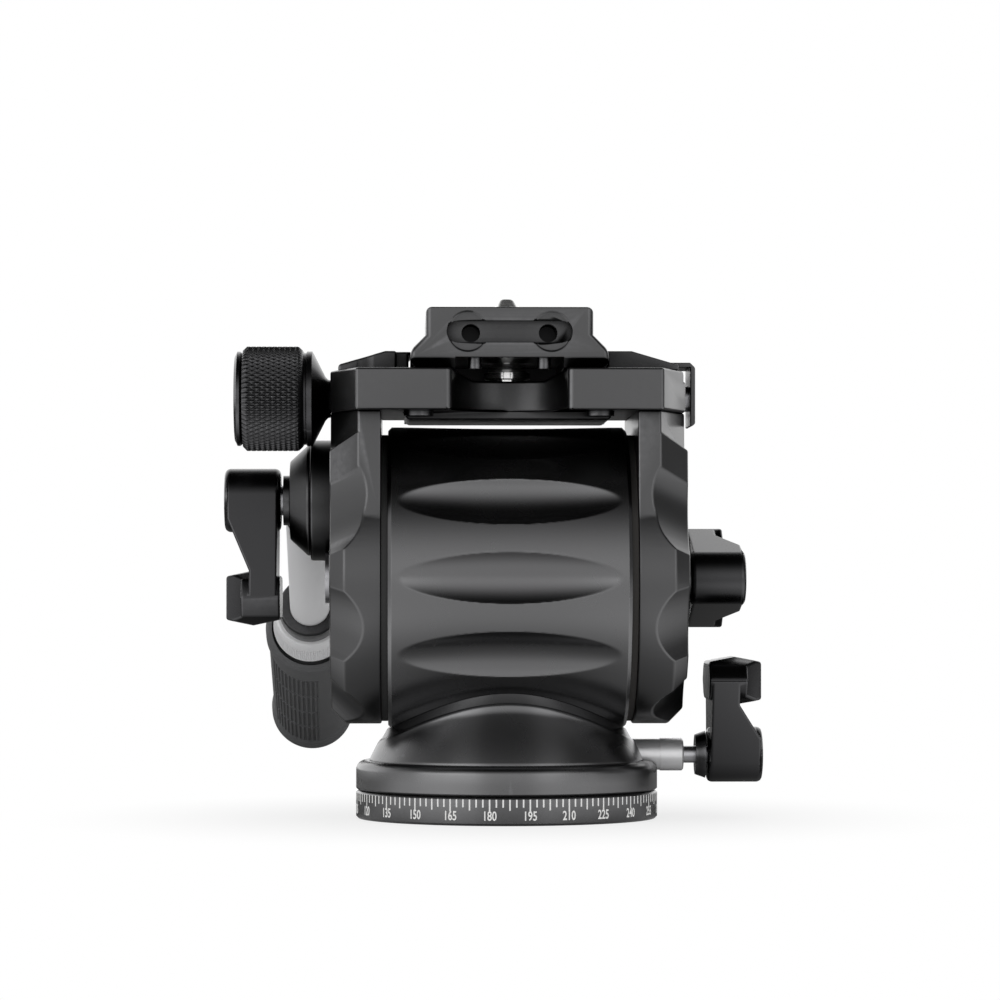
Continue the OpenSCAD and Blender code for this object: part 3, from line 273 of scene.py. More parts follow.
def blasted_grain_group():
    """Fine bead-blasted grain with a slow drift in gloss."""
    group, taken, given = new_group(
        "blasted_grain", [("Grain per metre", 4200), ("Drift per metre", 60)],
        ["Height", "Drift"])
    place = group.nodes.new("ShaderNodeTexCoord").outputs["Object"]
    fine = noise_node(group, place, taken.outputs[0], detail=2)
    slow = noise_node(group, place, taken.outputs[1], detail=3)
    group.links.new(fine, given.inputs["Height"])
    group.links.new(slow, given.inputs["Drift"])
    return group


def edge_wear_group():
    """Mask of exposed edges, broken up by grain, for wear and a painted highlight."""
    group, taken, given = new_group(
        "edge_wear", [("Start", 0.53), ("Full", 0.62), ("Breakup per metre", 900)],
        ["Mask"])
    edges = group.nodes.new("ShaderNodeNewGeometry").outputs["Pointiness"]
    spread = feed(group, group.nodes.new("ShaderNodeMapRange"),
                  (edges, taken.outputs["Start"], taken.outputs["Full"]))[0]
    place = group.nodes.new("ShaderNodeTexCoord").outputs["Object"]
    broken = noise_node(group, place, taken.outputs[2], detail=4)
    group.links.new(math_node(group, "MULTIPLY", spread, broken), given.inputs["Mask"])
    return group


def turning_lines_group():
    """Lathe marks: bands along one direction, given by its three parts."""
    group, taken, given = new_group(
        "turning_lines",
        [("Along X", 1), ("Along Y", 0), ("Along Z", 0), ("Lines per metre", 3000)],
        ["Height"])
    place = group.nodes.new("ShaderNodeTexCoord").outputs["Object"]
    way = feed(group, group.nodes.new("ShaderNodeCombineXYZ"), taken.outputs[:3])[0]
    along = vector_node(group, "DOT_PRODUCT", place, way)["Value"]
    line = group.nodes.new("ShaderNodeTexNoise")
    line.noise_dimensions = "1D"
    line.inputs["Detail"].default_value = 3
    group.links.new(along, line.inputs["W"])
    group.links.new(taken.outputs[3], line.inputs["Scale"])
    group.links.new(line.outputs["Fac"], given.inputs["Height"])
    return group


def recess_group():
    """Openness of a place: low in gaps and recesses, where shade is painted."""
    group, taken, given = new_group(
        "recess", [("Reach", 0.014), ("Closed", 0.35), ("Open", 0.95), ("Least", 0.15)],
        ["Openness"])
    seen = group.nodes.new("ShaderNodeAmbientOcclusion")
    seen.samples = 6
    group.links.new(taken.outputs[0], seen.inputs["Distance"])
    spread = feed(group, group.nodes.new("ShaderNodeMapRange"),
                  (seen.outputs["AO"], *taken.outputs[1:4]))[0]
    group.links.new(spread, given.inputs["Openness"])
    return group


def soft_edges_group():
    """Surface normal that rolls over sharp edges."""
    group, taken, given = new_group("soft_edges", [("Radius", 0.00018)], ["Normal"],
                                    kind="NodeSocketVector")
    roll = group.nodes.new("ShaderNodeBevel")
    roll.samples = 4
    group.links.new(taken.outputs[0], roll.inputs["Radius"])
    group.links.new(roll.outputs[0], given.inputs["Normal"])
    return group


class Finish:
    """Material being built: its tree, its shader and the groups placed in it."""

    def __init__(self, name, colour, roughness, metallic=0.0, specular=0.5):
        self.material = bpy.data.materials.new(name)
        self.material.use_nodes = True
        self.tree = self.material.node_tree
        self.shader = self.tree.nodes["Principled BSDF"]
        self.colour = tuple(colour)
        self.roughness = roughness
        self.shader.inputs["Base Color"].default_value = (*colour, 1)
        self.shader.inputs["Roughness"].default_value = roughness
        self.shader.inputs["Metallic"].default_value = metallic
        self.shader.inputs["Specular IOR Level"].default_value = specular

    def place(self, group, **values):
        node = self.tree.nodes.new("ShaderNodeGroup")
        node.node_tree = GROUPS[group]
        for label, value in values.items():
            node.inputs[label.replace("_", " ")].default_value = value
        return node

    def mixed(self, mask, other, share):
        """Base colour that moves towards another one where the mask is high."""
        base = self.shader.inputs["Base Color"]
        mix = self.tree.nodes.new("ShaderNodeMix")
        mix.data_type = "RGBA"
        mix.inputs[MIX_A].default_value = (*self.colour, 1)
        if base.is_linked:
            self.tree.links.new(base.links[0].from_socket, mix.inputs[MIX_A])
        mix.inputs[MIX_B].default_value = (*other, 1)
        self.tree.links.new(math_node(self.tree, "MULTIPLY", mask, share), mix.inputs[0])
        self.tree.links.new(mix.outputs[MIX_RESULT], base)

    def dimmed(self, recess):
        """Painted shade: base colour that falls to black in gaps and grooves."""
        opened = self.place("recess", **recess).outputs["Openness"]
        self.mixed(math_node(self.tree, "SUBTRACT", 1, opened), (0, 0, 0), share=1)

    def rough_from(self, mask, spread):
        """Roughness that varies round its middle with a mask."""
        offset = math_node(self.tree, "SUBTRACT", mask, 0.5)
        scaled = math_node(self.tree, "MULTIPLY", offset, spread)
        self.tree.links.new(math_node(self.tree, "ADD", scaled, self.roughness),
                            self.shader.inputs["Roughness"])

    def bumped(self, height, depth, strength, over=None):
        bump = self.tree.nodes.new("ShaderNodeBump")
        bump.inputs["Distance"].default_value = depth
        bump.inputs["Strength"].default_value = strength
        self.tree.links.new(height, bump.inputs["Height"])
        if over is not None:
            self.tree.links.new(over, bump.inputs["Normal"])
        self.tree.links.new(bump.outputs[0], self.shader.inputs["Normal"])


GROUPS = {}
FINISHES = {}
# Colour sockets of a mix node
MIX_A, MIX_B, MIX_RESULT = 6, 7, 2
# Paler metal of worn edges, brightened to serve also as a painted highlight
WORN_AND_LIT_METAL = (0.3, 0.3, 0.31)


def blasted(name, colour, roughness, grain_depth, wear, **recess):
    """Bead-blasted and black anodised metal with slightly worn edges, lightened also as a painted highlight, and
    painted shade in its recesses.
    """
    finish = Finish(name, colour, roughness, metallic=1.0)
    grain = finish.place("blasted_grain")
    worn_and_lit = finish.place("edge_wear")
    roll = finish.place("soft_edges")
    # Worn edges, lightened further as a painted highlight
    finish.mixed(worn_and_lit.outputs["Mask"], WORN_AND_LIT_METAL, wear)
    # Painted shade: the base colour darkens in gaps and recesses
    finish.dimmed(recess)
    finish.rough_from(grain.outputs["Drift"], spread=0.10)
    finish.bumped(grain.outputs["Height"], grain_depth, strength=0.35,
                  over=roll.outputs["Normal"])
    return finish.material


def lathed(name, colour, roughness, way, metallic=1.0, line_depth=4e-6):
    """Turned bare metal with fine lathe marks."""
    finish = Finish(name, colour, roughness, metallic)
    lines = finish.place("turning_lines", Along_X=way[0], Along_Y=way[1], Along_Z=way[2])
    grain = finish.place("blasted_grain", Grain_per_metre=900, Drift_per_metre=40)
    darker = tuple(0.8 * c for c in colour)
    finish.mixed(grain.outputs["Drift"], darker, share=0.35)
    finish.rough_from(grain.outputs["Height"], spread=0.12)
    finish.bumped(lines.outputs["Height"], line_depth, strength=0.5)
    return finish.material


def moulded(name, colour, roughness, grain_per_metre, depth, **recess):
    """Rubber or polymer with a fine moulded grain, and painted shade in its grooves if asked."""
    finish = Finish(name, colour, roughness, specular=0.35)
    grain = finish.place("blasted_grain", Grain_per_metre=grain_per_metre,
                         Drift_per_metre=90)
    paler = tuple(1.5 * c for c in colour)
    finish.mixed(grain.outputs["Drift"], paler, share=0.4)
    # Painted shade in the grooves, where asked
    if recess:
        finish.dimmed(recess)
    finish.rough_from(grain.outputs["Height"], spread=0.15)
    finish.bumped(grain.outputs["Height"], depth, strength=0.5)
    return finish.material


class HEAD_OT_finishes(bpy.types.Operator):
    """Build the shader groups and the finishes of all pieces"""

    bl_idname = "head.finishes"
    bl_label = "Finishes"

    def execute(self, context):
        colours = context.scene.head_colours
        GROUPS.update(blasted_grain=blasted_grain_group(), edge_wear=edge_wear_group(),
                      turning_lines=turning_lines_group(), soft_edges=soft_edges_group(),
                      recess=recess_group())
        # Wear shares also set each finish's painted edge highlight; Reach, Closed, Open and Least set its painted
        # shade in recesses
        FINISHES.update(
            anodised=blasted("satin_black_anodised", colours.anodised, roughness=0.30,
                             grain_depth=12e-6, wear=0.5, Reach=0.016, Closed=0.4, Least=0.15),
            turned=blasted("turned_black_anodised", colours.turned_black, roughness=0.27,
                           grain_depth=8e-6, wear=0.5, Least=0.7),
            lever=blasted("smooth_black_anodised", colours.lever_black, roughness=0.26,
                          grain_depth=6e-6, wear=0.6, Least=0.5),
            silver=lathed("silver_tube", colours.silver, 0.42, HANDLE_AXIS, metallic=0.2),
            sleeve=lathed("silver_sleeve", colours.silver, 0.34, ACROSS, metallic=0.7),
            steel=lathed("machined_steel", colours.steel, 0.30, ACROSS),
            screw=lathed("bright_screw", (0.95, 0.95, 0.94), 0.16, UPWARD, metallic=0.9,
                         line_depth=1e-6),
            rubber=moulded("grip_rubber", colours.rubber, 0.6, 2600, 30e-6,
                           Reach=0.0016, Closed=0.4, Open=0.95, Least=0.0),
            seal=moulded("seal_rubber", (0.02, 0.02, 0.02), 0.6, 2600, 15e-6),
            polymer=moulded("bearing_polymer", (0.72, 0.70, 0.62), 0.45, 1500, 8e-6),
            lining=moulded("brake_lining", (0.03, 0.028, 0.026), 0.8, 1800, 30e-6),
            dark_polymer=moulded("washer_polymer", (0.02, 0.02, 0.02), 0.55, 1500, 8e-6),
            brass=lathed("machined_brass", (0.62, 0.46, 0.20), 0.32, ACROSS),
            marks=moulded("dial_paint", colours.marks, 0.5, 3000, 5e-6),
        )
        return {"FINISHED"}


# Meshes and objects

def in_scene(name, data):
    """New object of the scene."""
    piece = bpy.data.objects.new(name, data)
    bpy.context.scene.collection.objects.link(piece)
    return piece


def mesh_of(name, solid):
    """Mesh of a finished solid, which is freed."""
    mesh = bpy.data.meshes.new(name)
    solid.to_mesh(mesh)
    solid.free()
    return mesh


def evaluated_mesh(piece):
    """Mesh that an object's text or modifiers result in."""
    graph = bpy.context.evaluated_depsgraph_get()
    return bpy.data.meshes.new_from_object(piece.evaluated_get(graph))


def shown(name, mesh, node, finish, sharp_angle=32):
    """Object in the scene that rides on the body of a CAD node."""
    mesh.materials.clear()
    mesh.materials.append(FINISHES[finish])
    mesh.shade_smooth()
    mesh.set_sharp_from_angle(angle=math.radians(sharp_angle))
    piece = in_scene(name, mesh)
    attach(piece, BODY_OF[node])
    return piece


def turned(name, rings, steps, place, relief=None):
    """Closed ring of profile points (along, radius) turned about local Z."""
    angles = np.linspace(0, 2 * math.pi, steps, endpoint=False)
    rows = []
    for along, radius in rings:
        r = np.full(steps, radius)
        if relief is not None:
            r = r + relief(along, angles, radius)
        rows.append(np.stack([r * np.cos(angles), r * np.sin(angles),
                              np.full(steps, along)], 1))
    turn, shift = np.array(place.to_3x3()).T, np.array(place.translation)
    return ring_mesh(name, [row @ turn + shift for row in rows])


def ring_mesh(name, rows):
    """Closed mesh through rows of points, each a closed ring of its own."""
    count, steps = len(rows), len(rows[0])
    faces = []
    for i in range(count):
        low, high = i * steps, (i + 1) % count * steps
        for k in range(steps):
            n = (k + 1) % steps
            faces.append((low + k, low + n, high + n, high + k))
    mesh = bpy.data.meshes.new(name)
    mesh.from_pydata(np.concatenate(rows).tolist(), [], faces)
    solid = bmesh.new()
    solid.from_mesh(mesh)
    bmesh.ops.recalc_face_normals(solid, faces=solid.faces)
    solid.to_mesh(mesh)
    solid.free()
    mesh.validate()
    return mesh


def axis_frame(origin, along, up):
    """Matrix whose local Z runs along one direction and local X along another."""
    z = Vector(along).normalized()
    x = (Vector(up) - Vector(up).dot(z) * z).normalized()
    y = z.cross(x)
    return Matrix.Translation(origin) @ Matrix((x, y, z)).transposed().to_4x4()


def span(start, end, step):
    """Evenly spaced places from start to end, both included."""
    count = max(1, round(abs(end - start) / step))
    return [start + (end - start) * k / count for k in range(count + 1)]


MERGE_GAP = 2e-6
FLAT_ANGLE, CONVEX_ANGLE = math.radians(0.6), math.radians(30)
CORNER_SEGMENTS, EDGE_SEGMENTS = 4, 3


def convex_edges(solid):
    """Edges that stand out sharply."""
    return [e for e in solid.edges
            if len(e.link_faces) == 2 and e.calc_face_angle_signed(0) > CONVEX_ANGLE]


def end_corners(solid):
    """Side edges of a plate's two end faces."""
    reach = max(abs(v.co.y) for v in solid.verts) - 0.01 * MM
    return [e for e in convex_edges(solid)
            if all(abs(v.co.y) > reach for v in e.verts)
            and any(abs(f.normal.x) > 0.5 for f in e.link_faces)]


def round_over(solid, edges, width, segments):
    bmesh.ops.bevel(solid, geom=edges, offset=width, offset_type="OFFSET",
                    segments=segments, profile=0.5, affect="EDGES", clamp_overlap=False,
                    loop_slide=True)


def rounded_mesh(node, width, corner=0.0, kept=None):
    """Copy of a CAD node's mesh with its convex edges rounded over.

    Edges inside the kept box, given by its middle and half size, stay sharp.
    """
    solid = bmesh.new()
    solid.from_mesh(NODES[node].data)
    bmesh.ops.remove_doubles(solid, verts=solid.verts, dist=MERGE_GAP)
    bmesh.ops.dissolve_limit(solid, angle_limit=FLAT_ANGLE, verts=solid.verts,
                             edges=solid.edges)
    bmesh.ops.recalc_face_normals(solid, faces=solid.faces)

    def outside(edges):
        if kept is None:
            return edges
        middle, half = kept
        return [e for e in edges
                if any(abs(v.co[k] - middle[k]) > half[k] for v in e.verts for k in range(3))]

    if corner:
        round_over(solid, outside(end_corners(solid)), corner, CORNER_SEGMENTS)
    round_over(solid, outside(convex_edges(solid)), width, EDGE_SEGMENTS)
    return mesh_of(node + "_rounded", solid)


class HEAD_OT_machined(bpy.types.Operator):
    """Round the edges of the milled and turned bodies"""

    bl_idname = "head.machined"
    bl_label = "Machined bodies"

    # Bodies of each finish, with their share of the edge rounding
    BODIES = {
        "anodised": {"side_plate_left": 1.0, "side_plate_right": 1.0, "clamp_body": 1.4,
                     "movable_jaw": 0.6, "camera_plate": 0.7, "rosette_base": 0.8,
                     "handle_head": 0.6},
        "lever": {"pan_lever": 1.3, "tilt_lever": 1.3, "rosette_lever": 1.3},
    }
    # Box round the camera plate's slots, which stay sharp: its middle and half size
    SLOTS = (Vector((0, 0, 95.4)) * MM, Vector((13.4, 30, 4.5)) * MM)

    def execute(self, context):
        sizes = context.scene.head_sizes
        special = {"camera_plate": (sizes.plate_corner, self.SLOTS)}
        for finish, shares in self.BODIES.items():
            for node, share in shares.items():
                mesh = rounded_mesh(node, sizes.edge_round * share, *special.get(node, ()))
                piece = shown(node + "_machined", mesh, node, finish)
                flat = piece.modifiers.new("flat_faces", "WEIGHTED_NORMAL")
                flat.keep_sharp = True
                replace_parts(piece, node)
        return {"FINISHED"}


class HEAD_OT_drum(bpy.types.Operator):
    """Build the fluted drum with its scallops"""

    bl_idname = "head.drum"
    bl_label = "Fluted drum"

    STEPS, ROW_STEP = 960, 0.3 * MM
    CHAMFER, CHAMFER_GAP = mm(0.7, 0.2)
    # Scallops, counted from the one that faces forward
    FIRST, LAST = -1, 7
    # Blend of a scallop's rim into the drum, and the angle that no scallop reaches
    BLEND, WIDEST = 0.10 * MM, 0.6
    # Bores for the cover, the fluid, the bearing and the shaft
    COVER_R, CHAMBER_R, BEARING_R, SHAFT_R = mm(26.02, 21, 9.5, 7)
    END_WALL, SEAL_W = mm(6.4, 1.4)

    def execute(self, context):
        sizes = context.scene.head_sizes
        radius, half = DRUM_HALF.z, DRUM_HALF.x
        depth, reach = sizes.scallop_depth, sizes.scallop_length / 2
        bow = (reach ** 2 + depth ** 2) / (2 * depth)
        centre_r = radius + sizes.scallop_radius - depth
        turns = [k * sizes.scallop_pitch for k in range(self.FIRST, self.LAST + 1)]

        def scallops(along, angles, ring_r):
            if ring_r < radius:
                return 0
            cut_r = sizes.scallop_radius - along ** 2 / (2 * bow)
            surface = np.full_like(angles, ring_r)
            for turn in turns:
                off = (angles + turn + math.pi) % (2 * math.pi) - math.pi
                inside = cut_r ** 2 - (centre_r * np.sin(off)) ** 2
                near = centre_r * np.cos(off) - np.sqrt(np.maximum(inside, 0))
                near = np.where((inside > 0) & (np.abs(off) < self.WIDEST), near, radius + 1)
                gap = np.clip((surface - near) / self.BLEND * 0.5 + 0.5, 0, 1)
                surface = (near * gap + surface * (1 - gap)
                           - self.BLEND * gap * (1 - gap))
            return surface - ring_r

        edge = self.CHAMFER
        outer = ([(-half, radius - edge), (edge - half, radius)]
                 + [(x, radius) for x in span(-half + edge + self.CHAMFER_GAP,
                                              half - edge - self.CHAMFER_GAP, self.ROW_STEP)]
                 + [(half - edge, radius), (half, radius - edge)])
        wall, seal = half - self.END_WALL, self.SEAL_W - half
        inner = [(half, self.COVER_R), (wall, self.COVER_R), (wall, self.CHAMBER_R),
                 (-wall, self.CHAMBER_R), (-wall, self.BEARING_R), (seal, self.BEARING_R),
                 (seal, self.SHAFT_R), (-half, self.SHAFT_R)]
        place = axis_frame(TILT_AXIS, ACROSS, FORWARD)
        mesh = turned("fluted_drum", outer + inner, self.STEPS, place, scallops)
        piece = shown("fluted_drum", mesh, "tilt_drum", "turned", sharp_angle=28)
        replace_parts(piece, "tilt_drum")
        return {"FINISHED"}


def bored(mesh, cutter):
    """Mesh less the space of a cutter."""
    carrier, tool = in_scene("carrier", mesh), in_scene("cutter", cutter)
    cut = carrier.modifiers.new("bore", "BOOLEAN")
    cut.operation = "DIFFERENCE"
    cut.solver = "EXACT"
    cut.object = tool
    result = evaluated_mesh(carrier)
    for piece in (carrier, tool):
        bpy.data.objects.remove(piece)
    return result


class HEAD_OT_pan_housing(bpy.types.Operator):
    """Build the flared pan housing with the rounded lip of its saddle"""

    bl_idname = "head.pan_housing"
    bl_label = "Pan housing"

    STEPS, HALVINGS = 720, 40
    CURVE_ROWS, FLARE_ROWS, SADDLE_ROWS, ROW_STEP = 8, 24, 12, 0.3 * MM
    SEAT_GAP = 0.05 * MM
    LIP_STEP = 0.35 * MM
    ROUND = 0.9 * MM
    BEAD, BEAD_H = mm(0.45, 1.5)
    # Band over the foot and its rounded shoulder
    FOOT_BEVEL, FOOT_H, BAND_H = mm(0.2, 2, 3.9)
    SHOULDER_IN, SHOULDER_H = mm(2, 1.75)
    # Groove behind the shoulder: how far in from the band, and height over the foot
    GROOVE = (mm(2.5, 5.65), mm(2.75, 5.4))
    # Flare over the housing's foot, and how far it draws in from the band
    FLARE_Z = mm(5.85, 12.6, 18.2, 21.45)
    FLARE_IN = mm(2.7, 6.3, 9.2, 10.4)
    FLARE_LIMIT = 24 * MM
    # Hub's bore, hollow and seal groove in mm: radius, and height over the foot
    HUB_R = 12 * MM
    INSIDE = ((12, 9.2), (9.03, 9.2), (9.03, 2.8), (24.5, 2.8), (24.5, 0), (25.95, 0),
              (25.95, 1.2), (28.05, 1.2), (28.05, 0))
    # Stepped bore of the pan lock in mm: distance from the pan axis, and radius
    LOCK_BORE = ((8, 0.01), (8, 2.43), (19, 2.43), (19, 3.27), (40, 3.27), (40, 0.01))
    LOCK_STEPS = 96

    def execute(self, context):
        foot, axis_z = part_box("pan_housing")[0].z, TILT_AXIS.z
        outer = BASE_R
        seat = DRUM_HALF.z + self.SEAT_GAP
        angles = np.linspace(0, 2 * math.pi, self.STEPS, endpoint=False)
        flare = np.polynomial.Polynomial.fit(self.FLARE_Z, self.FLARE_IN, 3)
        shares = [k / self.CURVE_ROWS for k in range(self.CURVE_ROWS + 1)]

        def ring(radius, z):
            return np.stack([radius * np.cos(angles), radius * np.sin(angles),
                             np.broadcast_to(z, angles.shape)], 1)

        def flare_r(z):
            return outer - flare(z - foot)

        def height_at(reach, inset):
            """Height where the drawn-in flare is a given distance from the drum's axis."""
            down = np.full(self.STEPS, foot + self.FLARE_Z[0])
            up = np.full(self.STEPS, foot + self.FLARE_LIMIT)
            for _ in range(self.HALVINGS):
                z = (down + up) / 2
                away = np.hypot((flare_r(z) - inset) * np.sin(angles), axis_z - z) > reach
                down, up = np.where(away, z, down), np.where(away, up, z)
            return (down + up) / 2

        def at_reach(reach, inset):
            z = height_at(reach, inset)
            return ring(flare_r(z) - inset, z)

        # Band, shoulder and groove
        rows = [ring(outer - self.FOOT_BEVEL, foot), ring(outer, foot + self.FOOT_BEVEL),
                ring(outer, foot + self.FOOT_H)]
        for share in shares:
            turn = math.pi / 2 * share
            rows.append(ring(outer - self.SHOULDER_IN * (1 - math.cos(turn)),
                             foot + self.BAND_H + self.SHOULDER_H * math.sin(turn)))
        rows += [ring(outer - inset, foot + z) for inset, z in self.GROOVE]
        # Flare up to the bead, and the lip's rounded edge
        base_z = foot + self.FLARE_Z[0]
        edge = seat + context.scene.head_sizes.lip_height + self.ROUND / 2
        top = height_at(edge + self.BEAD_H, 0)
        for k in range(self.FLARE_ROWS + 1):
            z = base_z + (top - base_z) * k / self.FLARE_ROWS
            rows.append(ring(flare_r(z), z))
        bead = self.BEAD * np.sin(angles) ** 2
        for share in shares[1:]:
            rows.append(at_reach(edge + self.BEAD_H * (1 - share), -bead * share ** 2))
        for share in shares[1:]:
            turn = math.pi / 2 * share
            rows.append(at_reach(edge - self.ROUND * math.sin(turn),
                                 (self.LIP_STEP + bead) * (1 - math.cos(turn)) - bead))
        for reach in span(edge - self.ROUND, seat, self.ROW_STEP)[1:]:
            rows.append(at_reach(reach, self.LIP_STEP))
        # Saddle under the drum, and the inside
        seam = flare_r(height_at(seat, self.LIP_STEP)) - self.LIP_STEP
        for k in range(1, self.SADDLE_ROWS + 1):
            radius = seam + (self.HUB_R - seam) * k / self.SADDLE_ROWS
            drop = np.sqrt(seat ** 2 - (radius * np.sin(angles)) ** 2)
            rows.append(ring(radius, axis_z - drop))
        rows += [ring(radius * MM, foot + z * MM) for radius, z in self.INSIDE]
        mesh = ring_mesh("pan_housing_turned", rows)
        lock = Vector((0, 0, centre("pan_lock_sleeve").z))
        bore = turned("pan_lock_bore", [(u * MM, r * MM) for u, r in self.LOCK_BORE],
                      self.LOCK_STEPS, axis_frame(lock, ACROSS, UPWARD))
        piece = shown("pan_housing_turned", bored(mesh, bore), "pan_housing", "turned")
        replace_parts(piece, "pan_housing")
        return {"FINISHED"}


class HEAD_OT_dial(bpy.types.Operator):
    """Paint the ticks and numbers of the pan dial"""

    bl_idname = "head.dial"
    bl_label = "Pan dial"

    TICK_TOP = 0.4 * MM
    TICK_STEP, NUMBER_STEP = 2.5, 15
    # Length of the ticks at the multiples of these readings
    TICKS = {15: 2.35 * MM, 7.5: 2.1 * MM, 2.5: 1.52 * MM}
    PAINT = 0.02 * MM
    NUMBER_H, NUMBER_Z = mm(1.75, 1.1)
    # Narrowing and thickening of the digits, and their height in the font
    NUMBER_W, NUMBER_BOLD, DIGIT_H = 0.74, 0.045 * MM, 0.70

    def on_ring(self, across, up, out, turn):
        """Point on the ring, from its place on the paint's flat layout."""
        angle = turn + across / BASE_R
        r = BASE_R + out
        return Vector((r * math.sin(angle), -r * math.cos(angle), up))

    def tick(self, solid, turn, length, width):
        top = BASE_TOP - self.TICK_TOP
        for v in bmesh.ops.create_cube(solid, size=1)["verts"]:
            across, inward, up = v.co
            v.co = self.on_ring(across * width, top + (up - 0.5) * length,
                                -2 * inward * self.PAINT, turn)

    def number(self, solid, turn, value):
        text = bpy.data.curves.new("dial_number", "FONT")
        text.body = str(value)
        text.align_x = "CENTER"
        text.size = self.NUMBER_H / self.DIGIT_H
        text.extrude = self.PAINT
        text.offset = self.NUMBER_BOLD
        text.resolution_u = 3
        holder = in_scene("dial_number", text)
        flat = evaluated_mesh(holder)
        for v in flat.vertices:
            v.co = self.on_ring(v.co.x * self.NUMBER_W, self.NUMBER_Z + v.co.y,
                                v.co.z + self.PAINT, turn)
        solid.from_mesh(flat)
        bpy.data.objects.remove(holder)
        bpy.data.curves.remove(text)
        bpy.data.meshes.remove(flat)

    def execute(self, context):
        sizes = context.scene.head_sizes
        solid = bmesh.new()
        for k in range(round(360 / self.TICK_STEP)):
            reading = self.TICK_STEP * k
            length = next(v for step, v in self.TICKS.items() if reading % step == 0)
            turn = math.radians(reading) - sizes.facing_angle
            self.tick(solid, turn, length, sizes.tick_width)
            if reading % self.NUMBER_STEP == 0:
                self.number(solid, turn, int(reading))
        piece = shown("dial_marks", mesh_of("dial_marks", solid), "base_ring", "marks")
        return {"FINISHED"}


def triangle(phase):
    """Triangle wave from 0 to 1 with period 1."""
    return np.abs((phase % 1) * 2 - 1)


class HEAD_OT_knob(bpy.types.Operator):
    """Build the clamp knob with its diamond knurl"""

    bl_idname = "head.knob"
    bl_label = "Clamp knob"

    BEVEL, BORE = mm(0.8, 2.53)
    BAND_BACK, COLLAR_IN = mm(5.6, 0.95)
    POCKET_R, POCKET_DEPTH = mm(6, 2.4)
    ROW_STEP, POINTS_PER_DIAMOND, DIAMOND_SLOPE = 0.09 * MM, 10, 1.5
    # Seat of the cap in mm: depth behind the face, and radius
    CAP_SEAT = ((0, 3.7), (0.6, 3.85), (1.1, 4.4))
    # Collar in mm: depth behind the face, and drop below the collar's radius
    COLLAR = ((3.3, 0.7), (3.7, 0), (4.7, 0), (4.9, 0.3), (5.3, 0.3))

    def execute(self, context):
        sizes = context.scene.head_sizes
        outer, bevel = half_size("clamp_knob").z, self.BEVEL
        face, end = KNOB_HIGH.x, KNOB_LOW.x
        start = face - self.BAND_BACK

        def knurl(along, angles, ring_r):
            if ring_r < outer or along > start - bevel or along < end + bevel:
                return 0
            round_share = angles / (2 * math.pi) * sizes.knurl_count
            along_share = along / sizes.knurl_pitch
            rise = np.minimum(triangle(round_share + along_share),
                              triangle(round_share - along_share))
            return -sizes.knurl_depth * (1 - np.clip(rise * self.DIAMOND_SLOPE, 0, 1))

        collar = outer - self.COLLAR_IN
        front = ([(face, self.BORE)] + [(face - u * MM, r * MM) for u, r in self.CAP_SEAT]
                 + [(face - u * MM, collar - drop * MM) for u, drop in self.COLLAR]
                 + [(start, outer - bevel)])
        band = [(x, outer) for x in span(start - bevel, end + bevel, self.ROW_STEP)]
        floor = end + self.POCKET_DEPTH
        rear = [(end, outer - bevel), (end, self.POCKET_R), (floor, self.POCKET_R),
                (floor, self.BORE)]
        place = axis_frame(Vector((0, KNOB_AXIS.y, KNOB_AXIS.z)), ACROSS, FORWARD)
        mesh = turned("clamp_knob_knurled", front + band + rear,
                      self.POINTS_PER_DIAMOND * sizes.knurl_count, place, knurl)
        piece = shown("clamp_knob_knurled", mesh, "clamp_knob", "lever", sharp_angle=40)
        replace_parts(piece, "clamp_knob")
        return {"FINISHED"}


def handle_place():
    """Frame on the handle tube, local Z from the rosette down the tube."""
    return axis_frame(HANDLE_START, HANDLE_AXIS, (-1, 0, 0))


def along_handle(node):
    """Start and end of a node along the handle, and its greatest radius."""
    offsets = [v.co - HANDLE_START for v in NODES[node].data.vertices]
    steps = [offset.dot(HANDLE_AXIS) for offset in offsets]
    radii = [offset.cross(HANDLE_AXIS).length for offset in offsets]
    return min(steps), max(steps), max(radii)


class HEAD_OT_twist_ring(bpy.types.Operator):
    """Build the twist ring with its straight knurl"""

    bl_idname = "head.twist_ring"
    bl_label = "Twist ring"

    STEPS, ROW_STEP = 720, 0.5 * MM
    BORE, TAPER = mm(6.48, 0.5)
    DEPTH, SLOPE = 0.22 * MM, 1.6
    SMOOTH_START, SMOOTH_END = mm(5, 1.4)
    # Rounded ends: distance from the end, and drop below the full radius
    ROUNDED = (mm(0, 0.6), mm(0.3, 0.2))
    LEAD_IN, TAPER_FROM, TAPER_TO = mm(1.2, 2, 1)

    def execute(self, context):
        sizes = context.scene.head_sizes
        start, end, outer = along_handle("twist_ring")

        def ridges(along, angles, ring_r):
            if not start + self.SMOOTH_START <= along <= end - self.SMOOTH_END:
                return 0
            wave = triangle(angles / (2 * math.pi) * sizes.ring_ridges)
            return -self.DEPTH * (1 - np.clip(wave * self.SLOPE, 0, 1))

        near_r = outer - self.TAPER
        profile = ([(start, self.BORE)] + [(start + u, near_r - drop) for u, drop in self.ROUNDED]
                   + [(start + self.LEAD_IN, near_r)]
                   + [(u, near_r + (outer - near_r) * (u - start) / (end - start))
                      for u in span(start + self.TAPER_FROM, end - self.TAPER_TO, self.ROW_STEP)]
                   + [(end - u, outer - drop) for u, drop in reversed(self.ROUNDED)]
                   + [(end, self.BORE)])
        mesh = turned("twist_ring_knurled", profile, self.STEPS, handle_place(), ridges)
        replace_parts(shown("twist_ring_knurled", mesh, "twist_ring", "silver"), "twist_ring")
        return {"FINISHED"}


